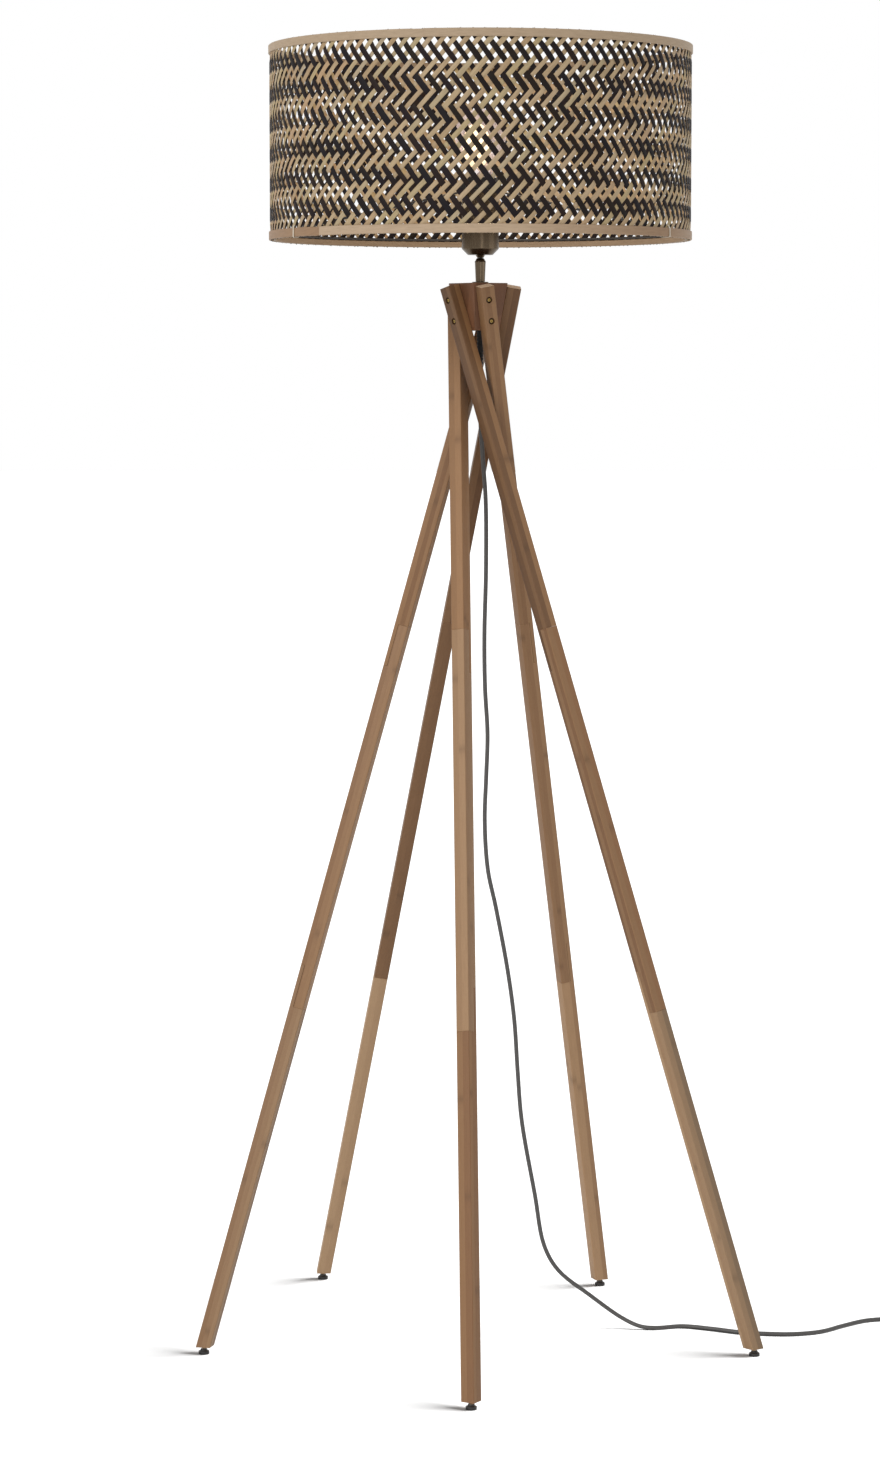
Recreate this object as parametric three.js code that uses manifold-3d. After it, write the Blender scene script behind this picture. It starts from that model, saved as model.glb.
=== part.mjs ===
// Floor lamp: a woven drum shade on a turned metal holder, carried by five leaning bamboo legs.
// Millimetres, +Z up. The origin lies on the floor, in the middle of the feet's footprint.

import * as THREE from 'three';
import { mergeVertices } from 'three/addons/utils/BufferGeometryUtils.js';
import Module from 'manifold-3d';

const wasm = await Module();
wasm.setup();

// Clearances and cutting
const FIT_GAP = 0.3;
const CUT_OVERRUN = 3;
const WELD_DISTANCE = 0.0001;

// Round pieces: how many flat sides stand for a circle
const FINE_SIDES = 64;
const ROUND_SIDES = 24;
const SMALL_SIDES = 12;
const WIRE_SIDES = 6;
const ARC_STEPS = 7;
const NUT_SIDES = 6;
const CURVE_DIVISIONS = 20;

// Stand
const HUB_TOP_HEIGHT = 1240.5;
const HUB_THICKNESS = 54.5;
const HUB_TOP_APOTHEM = 30;
const HUB_FACE_LEAN = THREE.MathUtils.degToRad(9.65);
const FIRST_FACE_TURN = THREE.MathUtils.degToRad(23.1);

// Legs: one place name and one swing on the hub face for each, in order round the hub
const LEG_PLACES = ['right_rear', 'left_rear', 'left', 'front', 'right'];
const LEG_SWING_DEGREES = [11.2, 13.9, 13.5, 14.1, 13.5];
const LEG_SECTION = 16.8;
const LEG_TOP_REVEAL = 0.7;
const LEG_FACE_OFFSET = 10.4;
const UPPER_SPLICE_SHARE = 0.3403;
const LOWER_SPLICE_SHARE = 0.662;
const SPLICE_LENGTH = 50;
const SPLICE_TONGUE = 12;

// The side of each leg, along its own X, on which the middle piece has its tongues
const TONGUE_SIDES = [-1, -1, -1, 1, 1];

// Hub screws, two through each leg
const HUB_SCREW_DROPS = [15.5, 40.5];
const SCREW_HEAD_RADIUS = 3.2;
const SCREW_HEAD_RIM = 0.5;
const SCREW_HEAD_TAPER = 2;
const SCREW_SHANK_RADIUS = 1.75;
const SCREW_LENGTH = 30;
const SCREW_TIP = 3;
const SCREW_INSET = 0.2;

// Glides: a nail with a ball end in each leg, and a tilting pad on the ball
const GLIDE_BALL_HEIGHT = 4.8;
const GLIDE_BALL_RADIUS = 2.4;
const GLIDE_NAIL_RADIUS = 1.2;
const GLIDE_NAIL_DEPTH = 20;
const GLIDE_NAIL_SHOW = 4.2;
const GLIDE_PAD_RADIUS = 6.3;
const GLIDE_PAD_RIM = 3.6;
const GLIDE_PAD_NECK_RADIUS = 3.9;
const GLIDE_PAD_NECK_RISE = 1.2;
const GLIDE_MOUTH_RADIUS = 2.25;

// Stem between the hub and the holder
const STEM_WASHER_RADIUS = 9.5;
const STEM_WASHER_THICKNESS = 1.4;
const STEM_FOOT_RADIUS = 5.5;
const STEM_SHOULDER_RADIUS = 6.55;
const STEM_LENGTH = 22.6;
const STEM_TAPER = 4.6;
const NECK_RADIUS = 3.8;

// Threaded tube that clamps holder, stem and hub together
const TUBE_RADIUS = 2.4;
const TUBE_BORE_RADIUS = 1.5;
const TUBE_FLANGE_RADIUS = 6;
const TUBE_FLANGE_THICKNESS = 2;
const HUB_NUT_RADIUS = 7.5;
const HUB_NUT_THICKNESS = 4.5;

// Lampholder
const CUP_RADIUS = 21.5;
const CUP_WALL = 1.2;
const CUP_CONE_RADIUS = 6.35;
const CUP_CONE_HEIGHT = 3.3;
const CUP_CHAMFER = 7;
const CUP_HEIGHT = 72.5;
const INSERT_BORE_RADIUS = 13.8;
const INSERT_BORE_DEPTH = 27;
const INSERT_WALL_GAP = 0.5;
const INSERT_TOP_REVEAL = 6;
const INSERT_WIRE_RADIUS = 1.9;
const CONTACT_RADIUS = 4;
const CONTACT_THICKNESS = 1.5;
const LEAD_RADIUS = 1.2;
const CLAMP_RING_WIDTH = 4.4;
const CLAMP_RING_HEIGHT = 8;

// Bulb
const BULB_CAP_RADIUS = 13.1;
const BULB_CAP_LENGTH = 27;
const BULB_CAP_WALL = 0.8;
const BULB_TIP_RADIUS = 4.5;
const BULB_TIP_RISE = 2;
const BULB_CONE_RISE = 5;
const BULB_RADIUS = 30;
const BULB_NECK_RADIUS = 14.5;
const BULB_NECK_RISE = 8;
const BULB_CENTRE_RISE = 47;
const BULB_SHOULDER_TURN = THREE.MathUtils.degToRad(54);
const BULB_WALL = 1;

// Shade
const SHADE_RADIUS = 245;
const SHADE_HEIGHT = 226;
const SHADE_RISE = 48;
const RIM_STRIP_THICKNESS = 2.3;
const RIM_STRIP_HEIGHT = 11.6;
const LINER_THICKNESS = 2.5;
const LINER_HEIGHT = 8.4;
const WOVEN_WALL_THICKNESS = 2;
const WOVEN_WALL_SETBACK = 1;
const WOVEN_WALL_COLUMNS = 24;
const WOVEN_WALL_ROWS = 3;
const WOVEN_WALL_END_BAND = 16;
const WOVEN_WALL_BAND = 15;
const FITTER_WIRE_RADIUS = 1.5;
const FITTER_PLATE_WIDTH = 7;
const FITTER_PLATE_THICKNESS = 1.5;
const FITTER_ARM_COUNT = 3;

// Cord, its strain relief, foot switch and plug
const CORD_RADIUS = 2.5;
const CORD_SIDES = 8;
const CORD_STEPS = 78;
const CORD_LIE_HEIGHT = 2.6;
const RELIEF_FLANGE_RADIUS = 8.6;
const RELIEF_FLANGE_THICKNESS = 3;
const RELIEF_FOOT_RADIUS = 4.1;
const RELIEF_TIP_RADIUS = 3.1;
const RELIEF_LENGTH = 44;
const SWITCH_LENGTH = 84;
const SWITCH_WIDTH = 36;
const SWITCH_HEIGHT = 22;
const SWITCH_CORNER = 12;
const SWITCH_EDGE = 2;
const SWITCH_EDGE_STEPS = 2;
const SWITCH_CORNER_STEPS = 4;
const SWITCH_FOOT = 0.2;
const BUTTON_RADIUS = 9.5;
const BUTTON_SHOW = 3;
const BUTTON_TRAVEL = 2.5;
const BUTTON_SINK = 4;
const BUTTON_GAP = 0.6;
const PLUG_WIDTH = 35;
const PLUG_HEIGHT = 14;
const PLUG_LENGTH = 36;
const PLUG_NECK = 13;
const PLUG_SHOULDER = 12;
const PIN_RADIUS = 2;
const PIN_LENGTH = 19;
const PIN_SPACING = 18.6;
const PIN_BRIDGE_DEPTH = 9;
const PIN_BRIDGE_THICKNESS = 5;

// Free cord from the strain relief to the switch, as places on the lamp's own axis and floor.
// It hangs through the crossing of the legs, swings out near the floor and lies along it.
const CORD_ROUTE = [
  [0, 0, 1090], [3, 0, 1040], [6.5, 0, 990], [7, 0, 908], [5.2, 0, 830], [6, 0, 770],
  [9, 0, 715], [7.5, 0, 665], [5.8, 1, 613], [9.5, 2, 555], [19, 3, 510], [33, 5, 435],
  [41, 7, 375], [45, 10, 315], [50, 13, 254], [66, 18, 163], [77, 21, 102],
  [94, 24, 71], [132, 27, 40], [170, 26, 13], [192, 20, 4], [210, 18, CORD_LIE_HEIGHT],
  [243, 27, CORD_LIE_HEIGHT], [278, 14, CORD_LIE_HEIGHT], [309, -2, CORD_LIE_HEIGHT],
  [337, -9, CORD_LIE_HEIGHT], [371, -11, CORD_LIE_HEIGHT], [405, 1, CORD_LIE_HEIGHT],
  [435, 31, CORD_LIE_HEIGHT], [464, 57, CORD_LIE_HEIGHT], [488, 66, CORD_LIE_HEIGHT],
];
const SWITCH_PLACE = new THREE.Vector3(594, 74, 0);
const SWITCH_CORD_HEIGHT = 8;
const SWITCH_CORD_RUN = 42;
const CORD_END_RUN = 10;

// Coil of the stored length, wound in two layers, and its run to the plug
const COIL_PLACE = new THREE.Vector3(632, -22, 0);
const COIL_OUTER_RADIUS = 36;
const COIL_PITCH = 5.5;
const COIL_TURNS_IN = 3;
const COIL_TURNS_CLIMB = 0.5;
const COIL_TURNS_OUT = 2.75;
const COIL_STEPS_PER_TURN = 24;
const COIL_CORD_SIDES = 6;
const COIL_DROP_RUN = 26;
const COIL_LEAD_TURN = 26;
const PLUG_RUN = 46;

// Colours and finishes
const BAMBOO = { color: 0x8a6848, roughness: 0.55, metalness: 0 };
const STRIP = { color: 0xb39c78, roughness: 0.6, metalness: 0 };
const WEAVE = { color: 0x6a5a45, roughness: 0.7, metalness: 0 };
const BRONZE = { color: 0x5c5044, roughness: 0.35, metalness: 0.9 };
const STEEL = { color: 0x9a9a98, roughness: 0.35, metalness: 0.9 };
const NICKEL = { color: 0xb8b6b0, roughness: 0.3, metalness: 0.9 };
const BRASS = { color: 0xb08d4f, roughness: 0.3, metalness: 0.9 };
const BLACK_PLASTIC = { color: 0x1c1c1c, roughness: 0.5, metalness: 0 };
const CORD_PLASTIC = { color: 0x4a4a4a, roughness: 0.55, metalness: 0 };
const GLASS = { color: 0xfff1d0, roughness: 0.1, metalness: 0, transparent: true, opacity: 0.5 };

// The object stands in `lamp`, whose origin is the middle of the footprint.
// `axis` holds every piece that is placed from the shade's and hub's common vertical axis.
const lamp = new THREE.Group();
const axis = new THREE.Group();
lamp.add(axis);

function addPiece(parent, name, geometry, finish) {
  const mesh = new THREE.Mesh(geometry, new THREE.MeshStandardMaterial(finish));
  mesh.name = name;
  parent.add(mesh);
  return mesh;
}

// Solid of revolution about +Z from [radius, height] points that run round the profile,
// outer side upwards.
function turned(profile, sides) {
  const points = profile.map(([radius, height]) => new THREE.Vector2(radius, height));
  const geometry = new THREE.LatheGeometry(points, sides);
  geometry.rotateX(Math.PI / 2);
  return geometry;
}

function closed(profile) {
  return [...profile, profile[0]];
}

// Ring with a rectangular section.
function ring(innerRadius, outerRadius, bottom, top, sides) {
  const profile = [
    [innerRadius, bottom],
    [outerRadius, bottom],
    [outerRadius, top],
    [innerRadius, top],
  ];
  return turned(closed(profile), sides);
}

// Disc or stepped plug whose profile starts and ends on the axis.
function plugShape(profile, sides) {
  const bottom = profile[0][1];
  const top = profile[profile.length - 1][1];
  return turned([[0, bottom], ...profile, [0, top]], sides);
}

function toSolid(geometry) {
  const bare = geometry.clone();
  bare.deleteAttribute('normal');
  bare.deleteAttribute('uv');
  const merged = mergeVertices(bare, WELD_DISTANCE);
  const index = merged.getIndex().array;
  const kept = [];
  for (let i = 0; i < index.length; i += 3) {
    const [a, b, c] = [index[i], index[i + 1], index[i + 2]];
    if (a !== b && b !== c && c !== a) kept.push(a, b, c);
  }
  return new wasm.Manifold(new wasm.Mesh({
    numProp: 3,
    vertProperties: new Float32Array(merged.getAttribute('position').array),
    triVerts: new Uint32Array(kept),
  }));
}

function toGeometry(solid) {
  const mesh = solid.getMesh();
  const geometry = new THREE.BufferGeometry();
  geometry.setAttribute('position', new THREE.BufferAttribute(mesh.vertProperties, 3));
  geometry.setIndex(new THREE.BufferAttribute(mesh.triVerts, 1));
  geometry.computeVertexNormals();
  return geometry;
}

function cut(geometry, tools) {
  const solid = tools.reduce((left, tool) => left.subtract(toSolid(tool)), toSolid(geometry));
  return toGeometry(solid);
}

function join(geometries) {
  const [first, ...others] = geometries.map(toSolid);
  return toGeometry(others.reduce((whole, part) => whole.add(part), first));
}

function circleSection(radius, sides) {
  const section = new THREE.Shape();
  for (let i = 0; i < sides; i += 1) {
    const turn = (2 * Math.PI * i) / sides;
    const place = [radius * Math.cos(turn), radius * Math.sin(turn)];
    if (i === 0) section.moveTo(...place);
    else section.lineTo(...place);
  }
  section.closePath();
  return section;
}

function tubeAlong(points, radius, sides, steps) {
  const curve = new THREE.CatmullRomCurve3(points, false, 'centripetal');
  curve.arcLengthDivisions = CURVE_DIVISIONS * points.length;
  return new THREE.ExtrudeGeometry(circleSection(radius, sides), {
    steps,
    extrudePath: curve,
  });
}

// Legs. In a leg's own frame the top end's centre is the origin, -Z runs down the leg,
// -Y faces away from the hub and +X lies in the hub's face.
const hubBottomHeight = HUB_TOP_HEIGHT - HUB_THICKNESS;
const hubFaceSlope = Math.tan(HUB_FACE_LEAN);

function hubApothemAt(height) {
  return HUB_TOP_APOTHEM - (HUB_TOP_HEIGHT - height) * hubFaceSlope;
}

function faceTurn(index) {
  return FIRST_FACE_TURN + (2 * Math.PI * index) / LEG_PLACES.length;
}

function legSwing(index) {
  return THREE.MathUtils.degToRad(LEG_SWING_DEGREES[index]);
}

function legTopHeight(index) {
  const cornerRise = (LEG_SECTION / 2) * (Math.sin(HUB_FACE_LEAN) + Math.sin(legSwing(index)));
  return HUB_TOP_HEIGHT - LEG_TOP_REVEAL - cornerRise;
}

function legPlumb(index) {
  return Math.cos(HUB_FACE_LEAN) * Math.cos(legSwing(index));
}

function legFrame(index) {
  const face = new THREE.Group();
  face.rotation.z = faceTurn(index);
  const leg = new THREE.Group();
  const topHeight = legTopHeight(index);
  const outset = (LEG_SECTION / 2 + FIT_GAP) / Math.cos(HUB_FACE_LEAN);
  leg.position.set(-LEG_FACE_OFFSET, -(hubApothemAt(topHeight) + outset), topHeight);
  leg.rotation.set(HUB_FACE_LEAN, -legSwing(index), 0);
  face.add(leg);
  axis.add(face);
  face.updateMatrixWorld(true);
  return leg;
}

const legFrames = LEG_PLACES.map((place, index) => legFrame(index));

// The leg is cut level above the floor, by the glide's ball and the part of the nail that shows.
function legLength(index) {
  const endHeight = GLIDE_BALL_HEIGHT + GLIDE_NAIL_SHOW * legPlumb(index);
  return (legTopHeight(index) - endHeight) / legPlumb(index);
}

// Outlines of a leg's pieces in its XZ plane, with the middle piece's tongues on +X. Each
// splice is a stepped lap, and the pieces stand a gap apart all along it.
const legHalf = LEG_SECTION / 2;
const spliceReach = SPLICE_LENGTH / 2;
const seamHalf = FIT_GAP / 2;
const tongueStep = legHalf - SPLICE_TONGUE;

function upperOutline(splice) {
  return [
    [-legHalf, splice - spliceReach + seamHalf],
    [tongueStep - seamHalf, splice - spliceReach + seamHalf],
    [tongueStep - seamHalf, splice + spliceReach + seamHalf],
    [legHalf, splice + spliceReach + seamHalf],
    [legHalf, 0],
    [-legHalf, 0],
  ];
}

function middleOutline(upperSplice, lowerSplice) {
  return [
    [-legHalf, lowerSplice + spliceReach + seamHalf],
    [tongueStep + seamHalf, lowerSplice + spliceReach + seamHalf],
    [tongueStep + seamHalf, lowerSplice - spliceReach + seamHalf],
    [legHalf, lowerSplice - spliceReach + seamHalf],
    [legHalf, upperSplice + spliceReach - seamHalf],
    [tongueStep + seamHalf, upperSplice + spliceReach - seamHalf],
    [tongueStep + seamHalf, upperSplice - spliceReach - seamHalf],
    [-legHalf, upperSplice - spliceReach - seamHalf],
  ];
}

function lowerOutline(splice, end) {
  return [
    [-legHalf, end],
    [legHalf, end],
    [legHalf, splice - spliceReach - seamHalf],
    [tongueStep - seamHalf, splice - spliceReach - seamHalf],
    [tongueStep - seamHalf, splice + spliceReach - seamHalf],
    [-legHalf, splice + spliceReach - seamHalf],
  ];
}

function legPiece(outline, side) {
  const shape = new THREE.Shape(outline.map(([x, z]) => new THREE.Vector2(side * x, z)));
  const geometry = new THREE.ExtrudeGeometry(shape, { depth: LEG_SECTION, bevelEnabled: false });
  geometry.rotateX(Math.PI / 2);
  geometry.translate(0, legHalf, 0);
  return geometry;
}

// Countersunk screw along -Z with its head's face at the origin, grown by `gap` for its hole.
function screwShape(gap) {
  const bodyTop = -(SCREW_HEAD_RIM + SCREW_HEAD_TAPER);
  const tip = -(SCREW_LENGTH + gap);
  return plugShape([
    [gap + SCREW_SHANK_RADIUS / 2, tip],
    [gap + SCREW_SHANK_RADIUS, tip + SCREW_TIP],
    [gap + SCREW_SHANK_RADIUS, bodyTop - gap],
    [gap + SCREW_HEAD_RADIUS, -(SCREW_HEAD_RIM + gap)],
    [gap + SCREW_HEAD_RADIUS, gap > 0 ? CUT_OVERRUN : 0],
  ], SMALL_SIDES);
}

function inHubScrewPlace(geometry, drop) {
  geometry.rotateX(Math.PI / 2);
  geometry.translate(0, SCREW_INSET - LEG_SECTION / 2, -drop);
  return geometry;
}

// All that the level cut takes off a leg's foot, in the leg's own frame.
function footWaste(index) {
  const size = 4 * LEG_SECTION;
  const toRow = legFrames[index].matrixWorld;
  const end = new THREE.Vector3(0, 0, -legLength(index)).applyMatrix4(toRow);
  const waste = new THREE.BoxGeometry(size, size, size);
  waste.translate(end.x, end.y, end.z - size / 2);
  return waste.applyMatrix4(toRow.clone().invert());
}

function addLeg(index) {
  const place = LEG_PLACES[index];
  const frame = legFrames[index];
  const length = legLength(index);
  const screwHoles = HUB_SCREW_DROPS.map((drop) => inHubScrewPlace(screwShape(FIT_GAP), drop));
  const upperSplice = -UPPER_SPLICE_SHARE * length;
  const lowerSplice = -LOWER_SPLICE_SHARE * length;
  const side = TONGUE_SIDES[index];
  const upper = legPiece(upperOutline(upperSplice), side);
  addPiece(frame, `leg_${place}_upper`, cut(upper, screwHoles), BAMBOO);
  const middle = legPiece(middleOutline(upperSplice, lowerSplice), side);
  addPiece(frame, `leg_${place}_middle`, middle, BAMBOO);
  const uncutEnd = -(length + legHalf);
  const nailHole = plugShape([
    [GLIDE_NAIL_RADIUS + FIT_GAP, uncutEnd - CUT_OVERRUN],
    [GLIDE_NAIL_RADIUS + FIT_GAP, GLIDE_NAIL_DEPTH + FIT_GAP - length],
  ], SMALL_SIDES);
  const lower = legPiece(lowerOutline(lowerSplice, uncutEnd), side);
  addPiece(frame, `leg_${place}_lower`, cut(lower, [nailHole, footWaste(index)]), BAMBOO);
}

function addHubScrews(index) {
  HUB_SCREW_DROPS.forEach((drop, row) => {
    const name = `hub_screw_${LEG_PLACES[index]}_${row + 1}`;
    addPiece(legFrames[index], name, inHubScrewPlace(screwShape(0), drop), BRONZE);
  });
}

// Nail along the leg's own line: shank, collar against the leg's end and ball below it.
function addGlideNail(index) {
  const ball = -(legLength(index) + GLIDE_NAIL_SHOW);
  const neckDrop = Math.sqrt(GLIDE_BALL_RADIUS ** 2 - GLIDE_NAIL_RADIUS ** 2);
  const profile = [];
  const neckTurn = Math.acos(neckDrop / GLIDE_BALL_RADIUS);
  for (let i = 1; i <= ARC_STEPS; i += 1) {
    const turn = ((Math.PI - neckTurn) * i) / ARC_STEPS;
    profile.push([GLIDE_BALL_RADIUS * Math.sin(turn), ball - GLIDE_BALL_RADIUS * Math.cos(turn)]);
  }
  profile[profile.length - 1] = [GLIDE_NAIL_RADIUS, ball + neckDrop];
  profile.push([GLIDE_NAIL_RADIUS, ball + GLIDE_NAIL_SHOW + GLIDE_NAIL_DEPTH]);
  const start = [0, ball - GLIDE_BALL_RADIUS];
  const end = [0, ball + GLIDE_NAIL_SHOW + GLIDE_NAIL_DEPTH];
  const geometry = turned([start, ...profile, end], SMALL_SIDES);
  addPiece(legFrames[index], `glide_nail_${LEG_PLACES[index]}`, geometry, STEEL);
}

function glideBallPlace(index) {
  const drop = legLength(index) + GLIDE_NAIL_SHOW;
  return new THREE.Vector3(0, 0, -drop).applyMatrix4(legFrames[index].matrixWorld);
}

// Pad: a flat-bottomed disc that snaps over the ball, with a flared mouth for the nail.
function glidePadShape() {
  const socket = GLIDE_BALL_RADIUS + FIT_GAP;
  const mouthTurn = Math.asin(GLIDE_MOUTH_RADIUS / socket);
  const mouthRise = socket * Math.cos(mouthTurn);
  const top = GLIDE_BALL_HEIGHT + mouthRise;
  const profile = [
    [0, 0],
    [GLIDE_PAD_RADIUS, 0],
    [GLIDE_PAD_RADIUS, GLIDE_PAD_RIM],
    [GLIDE_PAD_NECK_RADIUS, GLIDE_BALL_HEIGHT + GLIDE_PAD_NECK_RISE],
    [GLIDE_MOUTH_RADIUS, top],
  ];
  for (let i = 1; i <= ARC_STEPS; i += 1) {
    const turn = mouthTurn + ((Math.PI - mouthTurn) * i) / ARC_STEPS;
    const radius = i === ARC_STEPS ? 0 : socket * Math.sin(turn);
    profile.push([radius, GLIDE_BALL_HEIGHT + socket * Math.cos(turn)]);
  }
  return turned(profile, SMALL_SIDES);
}

function addGlidePad(index) {
  const ball = glideBallPlace(index);
  const pad = addPiece(axis, `glide_pad_${LEG_PLACES[index]}`, glidePadShape(), BLACK_PLASTIC);
  pad.position.set(ball.x, ball.y, 0);
}

// Hub: a five-sided block that narrows downwards, bored for the tube and the screws.
const reliefSeat = hubBottomHeight + FIT_GAP;
const nutSeat = reliefSeat + RELIEF_FLANGE_THICKNESS + FIT_GAP;
const recessTop = nutSeat + HUB_NUT_THICKNESS + FIT_GAP;
const tubeHoleRadius = TUBE_RADIUS + FIT_GAP;

function addHub() {
  const sides = LEG_PLACES.length;
  const cornerShare = 1 / Math.cos(Math.PI / sides);
  const block = new THREE.CylinderGeometry(
    HUB_TOP_APOTHEM * cornerShare,
    hubApothemAt(hubBottomHeight) * cornerShare,
    HUB_THICKNESS,
    sides,
  );
  block.rotateX(Math.PI / 2);
  block.rotateZ(FIRST_FACE_TURN + Math.PI / sides);
  block.translate(0, 0, hubBottomHeight + HUB_THICKNESS / 2);
  const bore = plugShape([
    [tubeHoleRadius, hubBottomHeight - CUT_OVERRUN],
    [tubeHoleRadius, HUB_TOP_HEIGHT + CUT_OVERRUN],
  ], ROUND_SIDES);
  const recess = plugShape([
    [RELIEF_FLANGE_RADIUS + FIT_GAP, hubBottomHeight - CUT_OVERRUN],
    [RELIEF_FLANGE_RADIUS + FIT_GAP, recessTop],
  ], ROUND_SIDES);
  const screwHoles = legFrames.flatMap((frame) => HUB_SCREW_DROPS.map((drop) => {
    const hole = inHubScrewPlace(screwShape(FIT_GAP), drop);
    return hole.applyMatrix4(frame.matrixWorld);
  }));
  addPiece(axis, 'hub_block', cut(block, [bore, recess, ...screwHoles]), BAMBOO);
}

// Heights up the middle of the lamp
const washerBottom = HUB_TOP_HEIGHT + FIT_GAP;
const stemBottom = washerBottom + STEM_WASHER_THICKNESS + FIT_GAP;
const stemShoulder = stemBottom + STEM_LENGTH;
const neckHeight = stemShoulder + STEM_TAPER;
const cupBottom = neckHeight + FIT_GAP;
const cupFloor = cupBottom + CUP_CONE_HEIGHT;
const cupTop = cupFloor + CUP_HEIGHT;
const tubeFlangeBottom = cupFloor + CUP_WALL + FIT_GAP;
const tubeFlangeTop = tubeFlangeBottom + TUBE_FLANGE_THICKNESS;
const fitterBottom = cupTop + FIT_GAP;
const fitterTop = fitterBottom + FITTER_PLATE_THICKNESS;
const clampBottom = fitterTop + FIT_GAP;
const clampTop = clampBottom + CLAMP_RING_HEIGHT;
const insertTop = clampTop + INSERT_TOP_REVEAL;
const insertFloor = insertTop - INSERT_BORE_DEPTH;
const insertRadius = CUP_RADIUS - CUP_WALL - INSERT_WALL_GAP;
const insertSeatRise = CUP_WALL + CUP_CHAMFER - INSERT_WALL_GAP;
const insertBottom = cupFloor + insertSeatRise + FIT_GAP * Math.SQRT2;
const contactBottom = insertFloor + FIT_GAP;
const bulbTip = contactBottom + CONTACT_THICKNESS + FIT_GAP;
const bulbCapTop = bulbTip + BULB_CAP_LENGTH;
const glassBottom = bulbCapTop + FIT_GAP;

function addStem() {
  const washer = ring(
    tubeHoleRadius,
    STEM_WASHER_RADIUS,
    washerBottom,
    washerBottom + STEM_WASHER_THICKNESS,
    ROUND_SIDES,
  );
  addPiece(axis, 'stem_washer', washer, BRONZE);
  const profile = [
    [tubeHoleRadius, stemBottom],
    [STEM_FOOT_RADIUS, stemBottom],
    [STEM_SHOULDER_RADIUS, stemShoulder],
    [NECK_RADIUS, neckHeight],
    [tubeHoleRadius, neckHeight],
  ];
  addPiece(axis, 'stem', turned(closed(profile), ROUND_SIDES), BRONZE);
}

function addThreadedTube() {
  const tube = [
    [TUBE_BORE_RADIUS, nutSeat],
    [TUBE_RADIUS, nutSeat],
    [TUBE_RADIUS, tubeFlangeBottom],
    [TUBE_FLANGE_RADIUS, tubeFlangeBottom],
    [TUBE_FLANGE_RADIUS, tubeFlangeTop],
    [TUBE_BORE_RADIUS, tubeFlangeTop],
  ];
  addPiece(axis, 'threaded_tube', turned(closed(tube), SMALL_SIDES), STEEL);
  const hexagon = new THREE.CylinderGeometry(
    HUB_NUT_RADIUS,
    HUB_NUT_RADIUS,
    HUB_NUT_THICKNESS,
    NUT_SIDES,
  );
  hexagon.rotateX(Math.PI / 2);
  hexagon.translate(0, 0, nutSeat + HUB_NUT_THICKNESS / 2);
  const bore = plugShape([
    [tubeHoleRadius, nutSeat - CUT_OVERRUN],
    [tubeHoleRadius, recessTop + CUT_OVERRUN],
  ], SMALL_SIDES);
  addPiece(axis, 'hub_nut', cut(hexagon, [bore]), STEEL);
}

function addHolder() {
  const chamferTop = cupFloor + CUP_CHAMFER;
  const cup = [
    [tubeHoleRadius, cupBottom],
    [NECK_RADIUS, cupBottom],
    [CUP_CONE_RADIUS, cupFloor],
    [CUP_RADIUS - CUP_CHAMFER, cupFloor],
    [CUP_RADIUS, chamferTop],
    [CUP_RADIUS, cupTop],
    [CUP_RADIUS - CUP_WALL, cupTop],
    [CUP_RADIUS - CUP_WALL, chamferTop + CUP_WALL],
    [CUP_RADIUS - CUP_WALL - CUP_CHAMFER, cupFloor + CUP_WALL],
    [tubeHoleRadius, cupFloor + CUP_WALL],
  ];
  addPiece(axis, 'holder_cup', turned(closed(cup), ROUND_SIDES), BRONZE);
  const insert = [
    [INSERT_WIRE_RADIUS, insertBottom],
    [insertRadius, insertBottom],
    [insertRadius, insertTop],
    [INSERT_BORE_RADIUS, insertTop],
    [INSERT_BORE_RADIUS, insertFloor],
    [INSERT_WIRE_RADIUS, insertFloor],
  ];
  addPiece(axis, 'socket_insert', turned(closed(insert), ROUND_SIDES), BLACK_PLASTIC);
  const contact = plugShape([
    [CONTACT_RADIUS, contactBottom],
    [CONTACT_RADIUS, contactBottom + CONTACT_THICKNESS],
  ], SMALL_SIDES);
  addPiece(axis, 'centre_contact', contact, BRASS);
  const lead = plugShape([
    [LEAD_RADIUS, reliefSeat + RELIEF_FLANGE_THICKNESS + FIT_GAP],
    [LEAD_RADIUS, insertFloor],
  ], WIRE_SIDES);
  addPiece(axis, 'inner_lead', lead, CORD_PLASTIC);
  const clamp = ring(
    insertRadius + INSERT_WALL_GAP,
    insertRadius + INSERT_WALL_GAP + CLAMP_RING_WIDTH,
    clampBottom,
    clampTop,
    ROUND_SIDES,
  );
  addPiece(axis, 'clamp_ring', clamp, BLACK_PLASTIC);
}

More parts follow.
